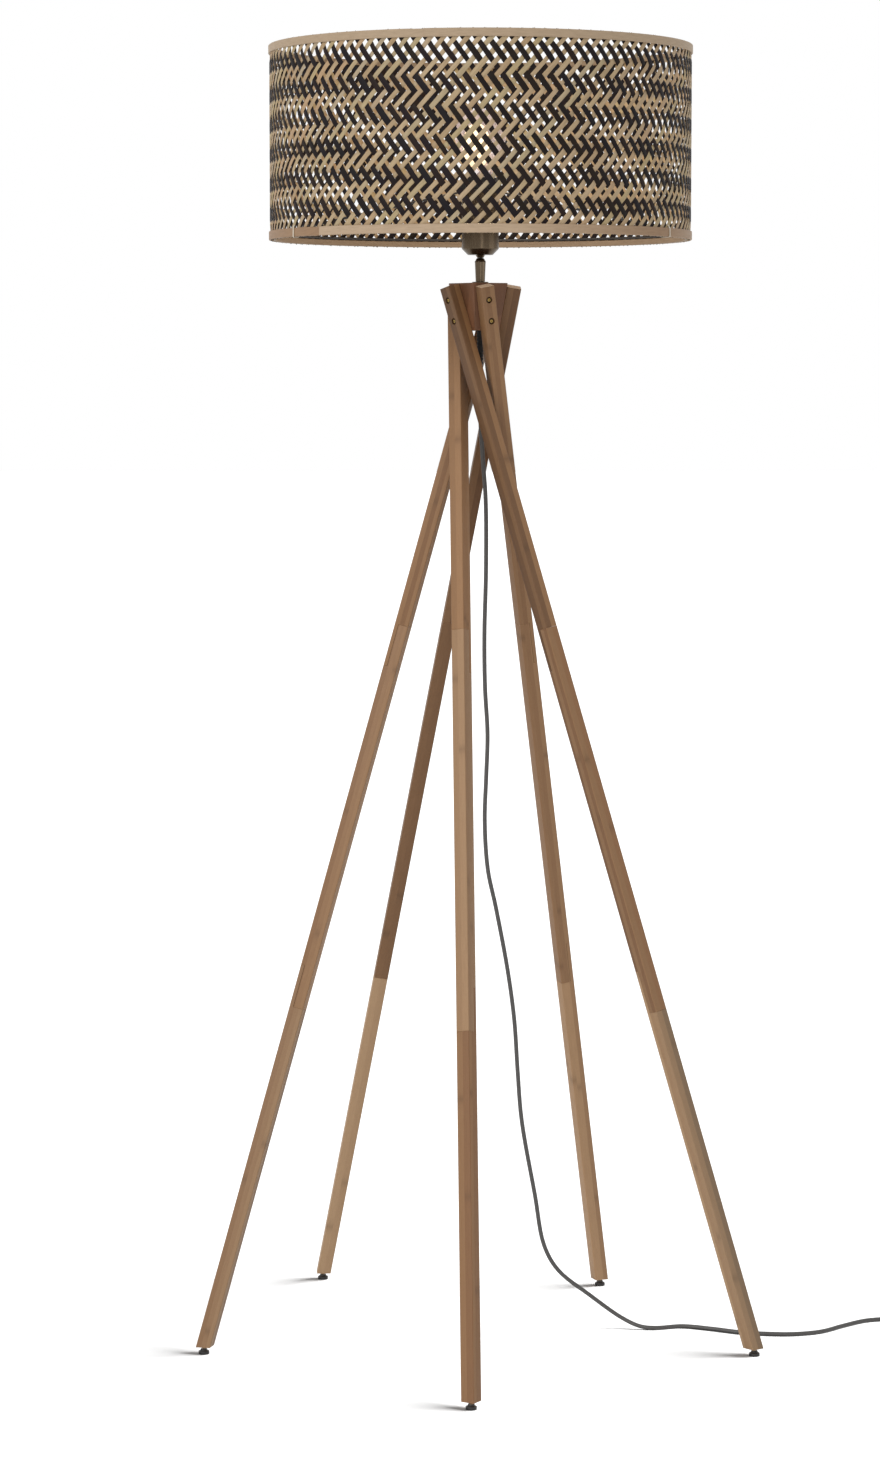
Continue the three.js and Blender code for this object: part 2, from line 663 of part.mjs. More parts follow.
function addBulb() {
  // The cap is a thin cup: up along the outside from the tip, back down along the inside.
  const coneTop = bulbTip + BULB_TIP_RISE + BULB_CONE_RISE;
  const cap = [
    [0, bulbTip],
    [BULB_TIP_RADIUS, bulbTip],
    [BULB_TIP_RADIUS, bulbTip + BULB_TIP_RISE],
    [BULB_CAP_RADIUS, coneTop],
    [BULB_CAP_RADIUS, bulbCapTop],
    [BULB_CAP_RADIUS - BULB_CAP_WALL, bulbCapTop],
    [BULB_CAP_RADIUS - BULB_CAP_WALL, coneTop + BULB_CAP_WALL],
    [0, bulbTip + BULB_TIP_RISE + BULB_CAP_WALL],
  ];
  addPiece(axis, 'bulb_cap', turned(cap, ROUND_SIDES), NICKEL);
  // The glass is a shell that is open at the cap: out along the outside, back along the inside.
  const centre = glassBottom + BULB_CENTRE_RISE;
  const neckTop = glassBottom + BULB_NECK_RISE;
  const arc = (radius) => {
    const points = [];
    for (let i = 0; i <= ARC_STEPS; i += 1) {
      const turn = BULB_SHOULDER_TURN + ((Math.PI - BULB_SHOULDER_TURN) * i) / ARC_STEPS;
      const reach = i === ARC_STEPS ? 0 : radius * Math.sin(turn);
      points.push([reach, centre - radius * Math.cos(turn)]);
    }
    return points;
  };
  const profile = [
    [BULB_NECK_RADIUS, glassBottom],
    [BULB_NECK_RADIUS, neckTop],
    ...arc(BULB_RADIUS),
    ...arc(BULB_RADIUS - BULB_WALL).reverse(),
    [BULB_NECK_RADIUS - BULB_WALL, neckTop],
    [BULB_NECK_RADIUS - BULB_WALL, glassBottom],
  ];
  addPiece(axis, 'bulb_glass', turned(closed(profile), ROUND_SIDES), GLASS);
}

// Shade: woven wall held between an outer rim strip and an inner liner at each edge.
const shadeBottom = HUB_TOP_HEIGHT + SHADE_RISE;
const shadeTop = shadeBottom + SHADE_HEIGHT;
const wallOuterRadius = SHADE_RADIUS - RIM_STRIP_THICKNESS - FIT_GAP;
const wallInnerRadius = wallOuterRadius - WOVEN_WALL_THICKNESS;
const linerOuterRadius = wallInnerRadius - FIT_GAP;
const linerInnerRadius = linerOuterRadius - LINER_THICKNESS;

// Ring of flat cells, one per side and gap between levels, without the cells that are open.
function openworkRing(innerRadius, outerRadius, levels, sides, isOpen) {
  const positions = [];
  const index = [];
  for (let side = 0; side < sides; side += 1) {
    const turn = (2 * Math.PI * side) / sides;
    for (const height of levels) {
      for (const radius of [innerRadius, outerRadius]) {
        positions.push(radius * Math.cos(turn), radius * Math.sin(turn), height);
      }
    }
  }
  const inside = (side, level) => ((side % sides) * levels.length + level) * 2;
  const outside = (side, level) => inside(side, level) + 1;
  const quad = (a, b, c, d) => index.push(a, b, c, a, c, d);
  const isSolid = (side, row) => (
    row >= 0 && row < levels.length - 1 && !isOpen((side + sides) % sides, row)
  );
  for (let side = 0; side < sides; side += 1) {
    const next = side + 1;
    for (let row = 0; row < levels.length - 1; row += 1) {
      const above = row + 1;
      if (isSolid(side, row)) {
        quad(outside(side, row), outside(next, row), outside(next, above), outside(side, above));
        quad(inside(side, above), inside(next, above), inside(next, row), inside(side, row));
        if (!isSolid(side, row - 1)) {
          quad(inside(side, row), inside(next, row), outside(next, row), outside(side, row));
        }
        if (!isSolid(side, above)) {
          quad(outside(side, above), outside(next, above), inside(next, above), inside(side, above));
        }
        if (!isSolid(side - 1, row)) {
          quad(inside(side, row), outside(side, row), outside(side, above), inside(side, above));
        }
        if (!isSolid(next, row)) {
          quad(inside(next, above), outside(next, above), outside(next, row), inside(next, row));
        }
      }
    }
  }
  const geometry = new THREE.BufferGeometry();
  geometry.setAttribute('position', new THREE.Float32BufferAttribute(positions, 3));
  geometry.setIndex(index);
  geometry.computeVertexNormals();
  return geometry;
}

// The weave as a plain openwork wall: level bands with a grid of openings between upright ribs,
// each as wide as one side of the ring.
function wovenWall() {
  const firstOpening = shadeBottom + WOVEN_WALL_END_BAND;
  const lastOpening = shadeTop - WOVEN_WALL_END_BAND;
  const rowPitch = (lastOpening - firstOpening + WOVEN_WALL_BAND) / WOVEN_WALL_ROWS;
  const levels = [shadeBottom + WOVEN_WALL_SETBACK];
  for (let row = 0; row < WOVEN_WALL_ROWS; row += 1) {
    const opening = firstOpening + row * rowPitch;
    levels.push(opening, opening + rowPitch - WOVEN_WALL_BAND);
  }
  levels.push(shadeTop - WOVEN_WALL_SETBACK);
  const sidesPerColumn = Math.round(FINE_SIDES / WOVEN_WALL_COLUMNS);
  const isOpen = (side, row) => row % 2 === 1 && side % sidesPerColumn > 0;
  return openworkRing(wallInnerRadius, wallOuterRadius, levels, FINE_SIDES, isOpen);
}

function addShadeWall() {
  const stripInner = SHADE_RADIUS - RIM_STRIP_THICKNESS;
  const bottomRim = ring(
    stripInner,
    SHADE_RADIUS,
    shadeBottom,
    shadeBottom + RIM_STRIP_HEIGHT,
    FINE_SIDES,
  );
  const topRim = ring(stripInner, SHADE_RADIUS, shadeTop - RIM_STRIP_HEIGHT, shadeTop, FINE_SIDES);
  const bottomLiner = ring(
    linerInnerRadius,
    linerOuterRadius,
    shadeBottom,
    shadeBottom + LINER_HEIGHT,
    FINE_SIDES,
  );
  const topLiner = ring(
    linerInnerRadius,
    linerOuterRadius,
    shadeTop - LINER_HEIGHT,
    shadeTop,
    FINE_SIDES,
  );
  addPiece(axis, 'woven_wall', wovenWall(), WEAVE);
  addPiece(axis, 'bottom_rim_strip', bottomRim, STRIP);
  addPiece(axis, 'top_rim_strip', topRim, STRIP);
  addPiece(axis, 'bottom_rim_liner', bottomLiner, STRIP);
  addPiece(axis, 'top_rim_liner', topLiner, STRIP);
}

// Fitter: a plate round the holder, three wire arms and a wire ring on the bottom liner.
function addFitter() {
  const plateInner = insertRadius + INSERT_WALL_GAP;
  const plateOuter = plateInner + FITTER_PLATE_WIDTH;
  const plate = ring(plateInner, plateOuter, fitterBottom, fitterTop, ROUND_SIDES);
  const hoopHeight = shadeBottom + LINER_HEIGHT + FIT_GAP + FITTER_WIRE_RADIUS;
  const hoopRadius = linerOuterRadius - FITTER_WIRE_RADIUS;
  const section = [];
  for (let i = 0; i < WIRE_SIDES; i += 1) {
    const turn = (2 * Math.PI * i) / WIRE_SIDES;
    const reach = hoopRadius + FITTER_WIRE_RADIUS * Math.cos(turn);
    section.push([reach, hoopHeight + FITTER_WIRE_RADIUS * Math.sin(turn)]);
  }
  const hoop = turned(closed(section), FINE_SIDES);
  const armStart = new THREE.Vector3(0, plateOuter - FITTER_PLATE_WIDTH / 2, fitterBottom);
  const armEnd = new THREE.Vector3(0, hoopRadius, hoopHeight);
  const armLine = armEnd.clone().sub(armStart);
  const arms = [];
  for (let i = 0; i < FITTER_ARM_COUNT; i += 1) {
    const arm = new THREE.CylinderGeometry(
      FITTER_WIRE_RADIUS,
      FITTER_WIRE_RADIUS,
      armLine.length(),
      WIRE_SIDES,
    );
    arm.rotateX(Math.atan2(armLine.z, armLine.y));
    arm.translate(0, (armStart.y + armEnd.y) / 2, (armStart.z + armEnd.z) / 2);
    arm.rotateZ((2 * Math.PI * i) / FITTER_ARM_COUNT);
    arms.push(arm);
  }
  addPiece(axis, 'shade_fitter', join([plate, hoop, ...arms]), STEEL);
}

// Cord
const reliefTip = hubBottomHeight - RELIEF_LENGTH;
const switchHalf = SWITCH_LENGTH / 2;

function addStrainRelief() {
  const flangeTop = reliefSeat + RELIEF_FLANGE_THICKNESS;
  const relief = plugShape([
    [RELIEF_TIP_RADIUS, reliefTip],
    [RELIEF_FOOT_RADIUS, reliefSeat],
    [RELIEF_FLANGE_RADIUS, reliefSeat],
    [RELIEF_FLANGE_RADIUS, flangeTop],
  ], ROUND_SIDES);
  addPiece(axis, 'strain_relief', relief, BLACK_PLASTIC);
}

function addFreeCord() {
  const start = reliefTip - FIT_GAP;
  const end = SWITCH_PLACE.x - switchHalf - FIT_GAP;
  const points = [
    new THREE.Vector3(0, 0, start),
    new THREE.Vector3(0, 0, start - CORD_END_RUN),
    ...CORD_ROUTE.map((place) => new THREE.Vector3(...place)),
    new THREE.Vector3(end - SWITCH_CORD_RUN / 2, SWITCH_PLACE.y, SWITCH_CORD_HEIGHT / 2),
    new THREE.Vector3(end - CORD_END_RUN, SWITCH_PLACE.y, SWITCH_CORD_HEIGHT),
    new THREE.Vector3(end, SWITCH_PLACE.y, SWITCH_CORD_HEIGHT),
  ];
  const cord = tubeAlong(points, CORD_RADIUS, CORD_SIDES, CORD_STEPS);
  addPiece(axis, 'cord_free', cord, CORD_PLASTIC);
}

// The coil winds clockwise from its right side, inwards on the floor, and outwards on top.
// While it climbs it also dips inwards, so that it clears the turn that it rises beside.
function coilPoints() {
  const points = [];
  const innerRadius = COIL_OUTER_RADIUS - COIL_TURNS_IN * COIL_PITCH;
  const turns = COIL_TURNS_IN + COIL_TURNS_CLIMB + COIL_TURNS_OUT;
  const count = Math.round(turns * COIL_STEPS_PER_TURN);
  for (let i = 0; i <= count; i += 1) {
    const turn = i / COIL_STEPS_PER_TURN;
    const past = Math.min(Math.max(turn - COIL_TURNS_IN, 0), COIL_TURNS_CLIMB);
    const out = Math.max(turn - COIL_TURNS_IN - COIL_TURNS_CLIMB, 0);
    const dip = Math.min(past, COIL_TURNS_CLIMB - past);
    const radius = turn <= COIL_TURNS_IN
      ? COIL_OUTER_RADIUS - COIL_PITCH * turn
      : innerRadius + COIL_PITCH * (out - dip);
    const climbShare = THREE.MathUtils.smoothstep(past, 0, COIL_TURNS_CLIMB);
    points.push(new THREE.Vector3(
      COIL_PLACE.x + radius * Math.cos(2 * Math.PI * turn),
      COIL_PLACE.y - radius * Math.sin(2 * Math.PI * turn),
      CORD_LIE_HEIGHT + COIL_PITCH * climbShare,
    ));
  }
  return points;
}

function coilCordPoints() {
  const exit = SWITCH_PLACE.x + switchHalf + FIT_GAP;
  const side = COIL_PLACE.x + COIL_OUTER_RADIUS;
  const wound = coilPoints();
  const last = wound[wound.length - 1];
  const plugEntry = last.x - COIL_DROP_RUN - PLUG_RUN;
  const leadStart = SWITCH_PLACE.y - COIL_LEAD_TURN;
  const bend = (side - exit - CORD_END_RUN) * Math.SQRT1_2;
  return [
    new THREE.Vector3(exit, SWITCH_PLACE.y, SWITCH_CORD_HEIGHT),
    new THREE.Vector3(exit + CORD_END_RUN, SWITCH_PLACE.y, SWITCH_CORD_HEIGHT),
    new THREE.Vector3(
      exit + CORD_END_RUN + bend,
      SWITCH_PLACE.y - (COIL_LEAD_TURN * (1 - Math.SQRT1_2)),
      (SWITCH_CORD_HEIGHT + CORD_LIE_HEIGHT) / 2,
    ),
    new THREE.Vector3(side, leadStart, CORD_LIE_HEIGHT + FIT_GAP),
    new THREE.Vector3(side, (leadStart + COIL_PLACE.y) / 2, CORD_LIE_HEIGHT),
    ...wound,
    new THREE.Vector3(last.x - COIL_DROP_RUN / 2, last.y, last.z - FIT_GAP),
    new THREE.Vector3(last.x - COIL_DROP_RUN, last.y, (last.z + PLUG_HEIGHT / 2) / 2),
    new THREE.Vector3(plugEntry + CORD_END_RUN, last.y, PLUG_HEIGHT / 2),
    new THREE.Vector3(plugEntry, last.y, PLUG_HEIGHT / 2),
  ];
}

// Least distance between stretches of a line that are further apart along it than `apart`.
function leastSelfGap(points, apart, radius) {
  const curve = new THREE.CatmullRomCurve3(points, false, 'centripetal');
  const length = curve.getLength();
  const count = Math.round(length / radius);
  const places = curve.getSpacedPoints(count);
  const skip = Math.ceil((apart * count) / length);
  let least = length;
  for (let i = 0; i < places.length; i += 1) {
    for (let j = i + skip; j < places.length; j += 1) {
      least = Math.min(least, places[i].distanceTo(places[j]));
    }
  }
  return { gap: least - 2 * radius, length };
}

function addCoil() {
  const points = coilCordPoints();
  const { gap, length } = leastSelfGap(points, COIL_OUTER_RADIUS, CORD_RADIUS);
  const meanTurn = 2 * Math.PI * (COIL_OUTER_RADIUS - (COIL_TURNS_IN * COIL_PITCH) / 2);
  const steps = Math.round((length / meanTurn) * COIL_STEPS_PER_TURN);
  const cord = tubeAlong(points, CORD_RADIUS, COIL_CORD_SIDES, steps);
  addPiece(axis, 'cord_coil', cord, CORD_PLASTIC);
  console.log(`coil cord: length ${length.toFixed(0)} mm, least gap to itself ${gap.toFixed(2)} mm`);
}

function roundedOutline(length, width, corner) {
  const [x, y] = [length / 2, width / 2];
  const outline = new THREE.Shape();
  outline.moveTo(corner - x, -y);
  outline.lineTo(x - corner, -y);
  outline.absarc(x - corner, corner - y, corner, -Math.PI / 2, 0, false);
  outline.lineTo(x, y - corner);
  outline.absarc(x - corner, y - corner, corner, 0, Math.PI / 2, false);
  outline.lineTo(corner - x, y);
  outline.absarc(corner - x, y - corner, corner, Math.PI / 2, Math.PI, false);
  outline.lineTo(-x, corner - y);
  outline.absarc(corner - x, corner - y, corner, Math.PI, Math.PI * 1.5, false);
  return outline;
}

function addSwitch() {
  const outline = roundedOutline(
    SWITCH_LENGTH - 2 * SWITCH_EDGE,
    SWITCH_WIDTH - 2 * SWITCH_EDGE,
    SWITCH_CORNER - SWITCH_EDGE,
  );
  const shell = new THREE.ExtrudeGeometry(outline, {
    depth: SWITCH_HEIGHT - 2 * SWITCH_EDGE,
    bevelThickness: SWITCH_EDGE,
    bevelSize: SWITCH_EDGE,
    bevelSegments: SWITCH_EDGE_STEPS,
    curveSegments: SWITCH_CORNER_STEPS,
  });
  shell.translate(0, 0, SWITCH_EDGE + SWITCH_FOOT);
  const shellTop = SWITCH_FOOT + SWITCH_HEIGHT;
  const wellFloor = shellTop - BUTTON_SINK - BUTTON_TRAVEL - FIT_GAP;
  const well = plugShape([
    [BUTTON_RADIUS + BUTTON_GAP, wellFloor],
    [BUTTON_RADIUS + BUTTON_GAP, shellTop + CUT_OVERRUN],
  ], ROUND_SIDES);
  const housing = addPiece(axis, 'switch_housing', cut(shell, [well]), BLACK_PLASTIC);
  housing.position.copy(SWITCH_PLACE);
  const button = plugShape([
    [BUTTON_RADIUS, shellTop - BUTTON_SINK],
    [BUTTON_RADIUS, shellTop + BUTTON_SHOW - SWITCH_EDGE / 2],
    [BUTTON_RADIUS - SWITCH_EDGE / 2, shellTop + BUTTON_SHOW],
  ], ROUND_SIDES);
  const key = addPiece(axis, 'switch_button', button, BLACK_PLASTIC);
  key.position.copy(SWITCH_PLACE);
}

// Flat two-pin plug, its cord end towards +X and its pins towards -X.
function addPlug() {
  const wound = coilPoints();
  const last = wound[wound.length - 1];
  const neckEnd = last.x - COIL_DROP_RUN - PLUG_RUN - FIT_GAP;
  const half = PLUG_WIDTH / 2;
  const neck = PLUG_NECK / 2;
  const outline = new THREE.Shape([
    new THREE.Vector2(-PLUG_LENGTH, -half),
    new THREE.Vector2(-PLUG_SHOULDER, -half),
    new THREE.Vector2(0, -neck),
    new THREE.Vector2(0, neck),
    new THREE.Vector2(-PLUG_SHOULDER, half),
    new THREE.Vector2(-PLUG_LENGTH, half),
  ]);
  const body = new THREE.ExtrudeGeometry(outline, { depth: PLUG_HEIGHT, bevelEnabled: false });
  const middle = PLUG_HEIGHT / 2;
  const face = -PLUG_LENGTH;
  const bridgeSize = [
    PIN_BRIDGE_THICKNESS,
    PIN_SPACING + 2 * PIN_RADIUS,
    2 * PIN_RADIUS,
  ];
  const bridgePlace = face + PIN_BRIDGE_DEPTH + PIN_BRIDGE_THICKNESS / 2;
  const boxAt = (grow) => {
    const box = new THREE.BoxGeometry(...bridgeSize.map((size) => size + 2 * grow));
    box.translate(bridgePlace, 0, middle);
    return box;
  };
  const pinAt = (side, grow) => {
    const reach = PIN_LENGTH + bridgePlace - face;
    const pin = new THREE.CylinderGeometry(
      PIN_RADIUS + grow,
      PIN_RADIUS + grow,
      reach,
      SMALL_SIDES,
    );
    pin.rotateZ(Math.PI / 2);
    pin.translate(bridgePlace - reach / 2, (side * PIN_SPACING) / 2, middle);
    return pin;
  };
  const hollows = [boxAt(FIT_GAP), pinAt(-1, FIT_GAP), pinAt(1, FIT_GAP)];
  const plug = addPiece(axis, 'plug_body', cut(body, hollows), BLACK_PLASTIC);
  plug.position.set(neckEnd, last.y, 0);
  const pins = addPiece(
    axis,
    'plug_pins',
    join([boxAt(0), pinAt(-1, 0), pinAt(1, 0)]),
    BRASS,
  );
  pins.position.set(neckEnd, last.y, 0);
}

LEG_PLACES.forEach((place, index) => {
  addLeg(index);
  addHubScrews(index);
  addGlideNail(index);
  addGlidePad(index);
});
addHub();
addStem();
addThreadedTube();
addHolder();
addBulb();
addShadeWall();
addFitter();
addStrainRelief();
addFreeCord();
addCoil();
addSwitch();
addPlug();

// The footprint's middle becomes the origin.
const footprint = new THREE.Box3().setFromPoints(
  LEG_PLACES.map((place, index) => glideBallPlace(index)),
);
const middle = footprint.getCenter(new THREE.Vector3());
axis.position.set(-middle.x, -middle.y, 0);

export default lamp;
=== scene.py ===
"""Looks of a floor lamp: a woven bamboo drum shade on a bronzed holder and five bamboo legs."""

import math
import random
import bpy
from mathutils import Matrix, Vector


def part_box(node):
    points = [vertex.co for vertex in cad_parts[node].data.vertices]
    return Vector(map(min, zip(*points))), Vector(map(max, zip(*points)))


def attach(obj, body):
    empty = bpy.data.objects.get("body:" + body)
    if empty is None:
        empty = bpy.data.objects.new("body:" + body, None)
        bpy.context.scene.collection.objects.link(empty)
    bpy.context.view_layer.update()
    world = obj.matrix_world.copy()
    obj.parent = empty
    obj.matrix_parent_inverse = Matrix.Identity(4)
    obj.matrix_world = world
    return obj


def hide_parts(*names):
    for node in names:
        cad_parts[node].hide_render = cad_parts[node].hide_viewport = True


bl_info = {
    "name": "Woven Shade Floor Lamp",
    "version": (1, 0, 0),
    "blender": (4, 5, 0),
    "location": "View3D > Sidebar > Floor Lamp",
    "description": "Builds the finishes and fine shapes of a floor lamp with a woven bamboo shade",
    "category": "Object",
}

import bmesh
import bpy
import numpy as np
from bpy.props import FloatProperty, FloatVectorProperty, IntProperty, PointerProperty
from mathutils import Matrix, Vector

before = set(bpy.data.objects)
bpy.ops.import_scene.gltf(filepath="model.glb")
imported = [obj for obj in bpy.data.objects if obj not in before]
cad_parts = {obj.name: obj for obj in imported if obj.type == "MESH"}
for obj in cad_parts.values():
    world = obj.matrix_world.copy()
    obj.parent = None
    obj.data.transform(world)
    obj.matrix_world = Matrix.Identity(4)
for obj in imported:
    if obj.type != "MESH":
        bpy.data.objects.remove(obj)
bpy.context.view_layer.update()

MM = 0.001
LEG_PLACES = ("right_rear", "left_rear", "left", "front", "right")
FACET_ANGLE = math.radians(35)

# Sockets of a Mix node that is set to colours
MIX_FACTOR, MIX_A, MIX_B, MIX_RESULT = 0, 6, 7, 2


def middle(node):
    low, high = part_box(node)
    return (low + high) / 2


def extent(node):
    """A node's bottom, top and half width in millimetres."""
    low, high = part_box(node)
    return low.z / MM, high.z / MM, (high.x - low.x) / 2 / MM


AXIS = middle("holder_cup").xy
ON_AXIS = Matrix.Translation((AXIS.x, AXIS.y, 0))


def bore(node):
    """Radius in millimetres of the hole along the lamp's axis through a node."""
    return min((vertex.co.xy - AXIS).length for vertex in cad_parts[node].data.vertices) / MM


def linear(colour):
    """An sRGB hex colour as linear red, green and blue."""
    channels = [int(colour[start:start + 2], 16) / 255 for start in (1, 3, 5)]
    return tuple(c / 12.92 if c <= 0.04045 else ((c + 0.055) / 1.055) ** 2.4 for c in channels)


def opaque(colour):
    return (*colour, 1.0)


# Settings


def length_setting(name, description, millimetres):
    options = {"default": millimetres * MM, "min": 0, "precision": 5, "unit": "LENGTH"}
    return FloatProperty(name=name, description=description, **options)


def colour_setting(name, description, colour):
    options = {"default": linear(colour), "size": 3, "min": 0, "max": 1, "subtype": "COLOR"}
    return FloatVectorProperty(name=name, description=description, **options)


def angle_setting(name, description, degrees):
    default = math.radians(degrees)
    return FloatProperty(name=name, description=description, default=default, unit="ROTATION")


class StageSettings(bpy.types.PropertyGroup):
    distance: length_setting("Camera distance", "From the lamp's axis, level", 4588.2)
    height: length_setting("Camera height", "Above the floor", 1125.2)
    tilt: angle_setting("Camera tilt", "Downwards", 5.077)
    pan: angle_setting("Camera pan", "To the left", 0.584)
    focal_length: FloatProperty(name="Focal length", description="On a 36 mm sensor", default=96.57)
    backdrop: colour_setting("Backdrop", "Floor and background", "#ffffff")
    fill: FloatProperty(name="Fill", description="Strength of the surrounding light", default=0.5)
    paper_light: FloatProperty(name="Paper light", description="On the floor", default=9.3)
    lamp_light: FloatProperty(name="Lamp light", description="On the lamp", default=1.25)


class ShadeSettings(bpy.types.PropertyGroup):
    strips: IntProperty(name="Strips", description="Strips that lean each way", default=110, min=12)
    crossing_rise: length_setting("Crossing rise", "Height from one crossing to the next", 8.365)
    crossing_height: length_setting("Crossing height", "Height of one crossing on the axis", 1449.4)
    crossing_offset: length_setting("Crossing offset", "Arc from the front, to the left", 49.45)
    dark_lean: angle_setting("Dark lean", "Slope of the dark strips from level", 53.9)
    dark_width: length_setting("Dark width", "Width of a dark strip", 6.6)
    pale_width: length_setting("Pale width", "Width of a pale strip", 5.6)
    strip_thickness: length_setting("Strip thickness", "Thickness of a woven strip", 0.7)
    weave_depth: length_setting("Weave depth", "How far a strip swings in and out", 0.6)
    wander: length_setting("Wander", "Slow drift of the weave from true", 1.4)
    dark_colour: colour_setting("Dark strips", "Dyed bamboo", "#1c1514")
    pale_colour: colour_setting("Pale strips", "Undyed bamboo", "#b39b78")
    rim_colour: colour_setting("Rim strips", "Bands round both edges", "#a8937a")
    liner_colour: colour_setting("Liner strips", "Bands inside both edges", "#947f68")
    tie_colour: colour_setting("Ties", "Peel that binds the fitter to the rim", "#d9cdb9")


class StandSettings(bpy.types.PropertyGroup):
    corner: length_setting("Edge rounding", "Radius of a leg's long edges", 1.1)
    lamella: length_setting("Lamella", "Thickness of one glued bamboo strip", 5.6)
    node_spacing: length_setting("Node spacing", "Between the nodes of one bamboo strip", 420)
    pale: colour_setting("Pale bamboo", "Lightest strips of the legs", "#a58767")
    dark: colour_setting("Dark bamboo", "Darkest strips of the legs", "#8d6e50")
    # Darker than the legs: partly the block's own tone, partly painted shade from the drum above it
    hub: colour_setting("Hub bamboo", "The block between the legs", "#795237")
    # As pale as the lit tops of the legs: partly the cut ends' own tone, partly painted light
    end_grain: colour_setting("End grain", "Cut ends of the legs", "#f2d2b2")


class FittingSettings(bpy.types.PropertyGroup):
    bronze: colour_setting("Bronze", "Holder, stem and screws", "#6a5c4b")
    steel: colour_setting("Steel", "Tube, nut and nails", "#a7a6a2")
    brass: colour_setting("Brass", "Contacts and plug pins", "#c2a25c")
    nickel: colour_setting("Nickel", "Bulb cap", "#c2bfb8")
    plastic: colour_setting("Black plastic", "Switch, plug, glides and holder", "#211f1e")
    wire: colour_setting("Painted wire", "Shade fitter", "#2b2622")
    glass: colour_setting("Bulb glass", "Frosted glass", "#dcd6e4")
    glow: colour_setting("Glow", "Lit filaments", "#ffdeb0")
    glow_strength: FloatProperty(name="Glow strength", description="Of the filaments", default=3.2)
    strip_light: FloatProperty(name="Strip light", description="Throws on the bronze", default=2.4)
    bulb_watts: FloatProperty(name="Bulb power", description="Light the bulb throws", default=1.1)


class CordSettings(bpy.types.PropertyGroup):
    diameter: length_setting("Diameter", "Of the sheath", 5.0)
    sheath: colour_setting("Sheath", "Colour of the cord", "#4f4d4b")


# Material nodes


def add_node(tree, kind, inputs=None, stops=None, **settings):
    """Adds a node. An input that is given another node's output is linked to it."""
    node = tree.nodes.new(kind)
    for name, value in settings.items():
        setattr(node, name, value)
    if stops:
        elements = node.color_ramp.elements
        while len(elements) < len(stops):
            elements.new(0.5)
        for element, (position, colour) in zip(elements, stops):
            element.position = position
            element.color = opaque(colour)
    for key, value in (inputs or {}).items():
        socket = node.inputs[key]
        if isinstance(value, bpy.types.NodeSocket):
            tree.links.new(value, socket)
        else:
            socket.default_value = value
    return node


class Look:
    """A material with one Principled shader, whose sockets take the numbers given."""

    def __init__(self, name, **sockets):
        self.material = bpy.data.materials.new(name)
        self.material.use_nodes = True
        self.tree = self.material.node_tree
        self.shader = self.tree.nodes["Principled BSDF"]
        for key, value in sockets.items():
            self.shader.inputs[key.replace("_", " ")].default_value = value

    def add(self, kind, output, inputs=None, stops=None, **settings):
        """Adds a node and gives one of its outputs."""
        return add_node(self.tree, kind, inputs, stops, **settings).outputs[output]

    def coords(self):
        return self.add("ShaderNodeTexCoord", "Object")

    def local(self, place):
        """Coordinates in a piece's own frame."""
        spot, turn = place.translation, place.to_euler()
        inputs = {"Vector": self.coords(), "Location": spot, "Rotation": turn}
        return self.add("ShaderNodeMapping", "Vector", inputs, vector_type="TEXTURE")

    def parts(self, vector):
        return add_node(self.tree, "ShaderNodeSeparateXYZ", {0: vector}).outputs[:]

    def maths(self, operation, *values):
        return self.add("ShaderNodeMath", 0, dict(enumerate(values)), operation=operation)

    def scaled(self, vector, *scale):
        inputs = {0: vector, 1: scale}
        return self.add("ShaderNodeVectorMath", "Vector", inputs, operation="MULTIPLY")

    def grained(self, vector, across, along):
        """Coordinates squeezed so that a pattern is so many millimetres across and along."""
        return self.scaled(vector, *(1 / (length * MM) for length in (across, across, along)))

    def noise(self, vector, detail, roughness=0.5):
        inputs = {"Vector": vector, "Detail": detail, "Roughness": roughness}
        return self.add("ShaderNodeTexNoise", "Fac", inputs)

    def cells(self, vector):
        return self.add("ShaderNodeTexVoronoi", "Distance", {"Vector": vector, "Scale": 1.0})

    def ramp(self, factor, *stops):
        return self.add("ShaderNodeValToRGB", "Color", {0: factor}, stops)

    def ranged(self, value, low, high):
        return self.add("ShaderNodeMapRange", 0, {"Value": value, "To Min": low, "To Max": high})

    def mix(self, factor, first, second, blend="MIX"):
        inputs = {MIX_FACTOR: factor, MIX_A: first, MIX_B: second}
        return self.add("ShaderNodeMix", MIX_RESULT, inputs, data_type="RGBA", blend_type=blend)

    def bump(self, height, strength, depth):
        """A bump so many millimetres deep."""
        inputs = {"Strength": strength, "Distance": depth * MM, "Height": height}
        return self.add("ShaderNodeBump", 0, inputs)

    def finish(self, **outputs):
        """Links outputs to the shader's sockets, and gives the material."""
        for key, output in outputs.items():
            self.tree.links.new(output, self.shader.inputs[key.replace("_", " ")])
        return self.material


def emptied(owner):
    """The node tree of a material or a world, with nothing in it."""
    owner.use_nodes = True
    owner.node_tree.nodes.clear()
    return owner.node_tree


def shifted(colour, lightness, warmth=0.0):
    """A colour made lighter or darker, and warmer or cooler, by shares."""
    shares = (lightness * (1 + warmth), lightness, lightness * (1 - warmth))
    return tuple(min(channel * share, 1) for channel, share in zip(colour, shares))


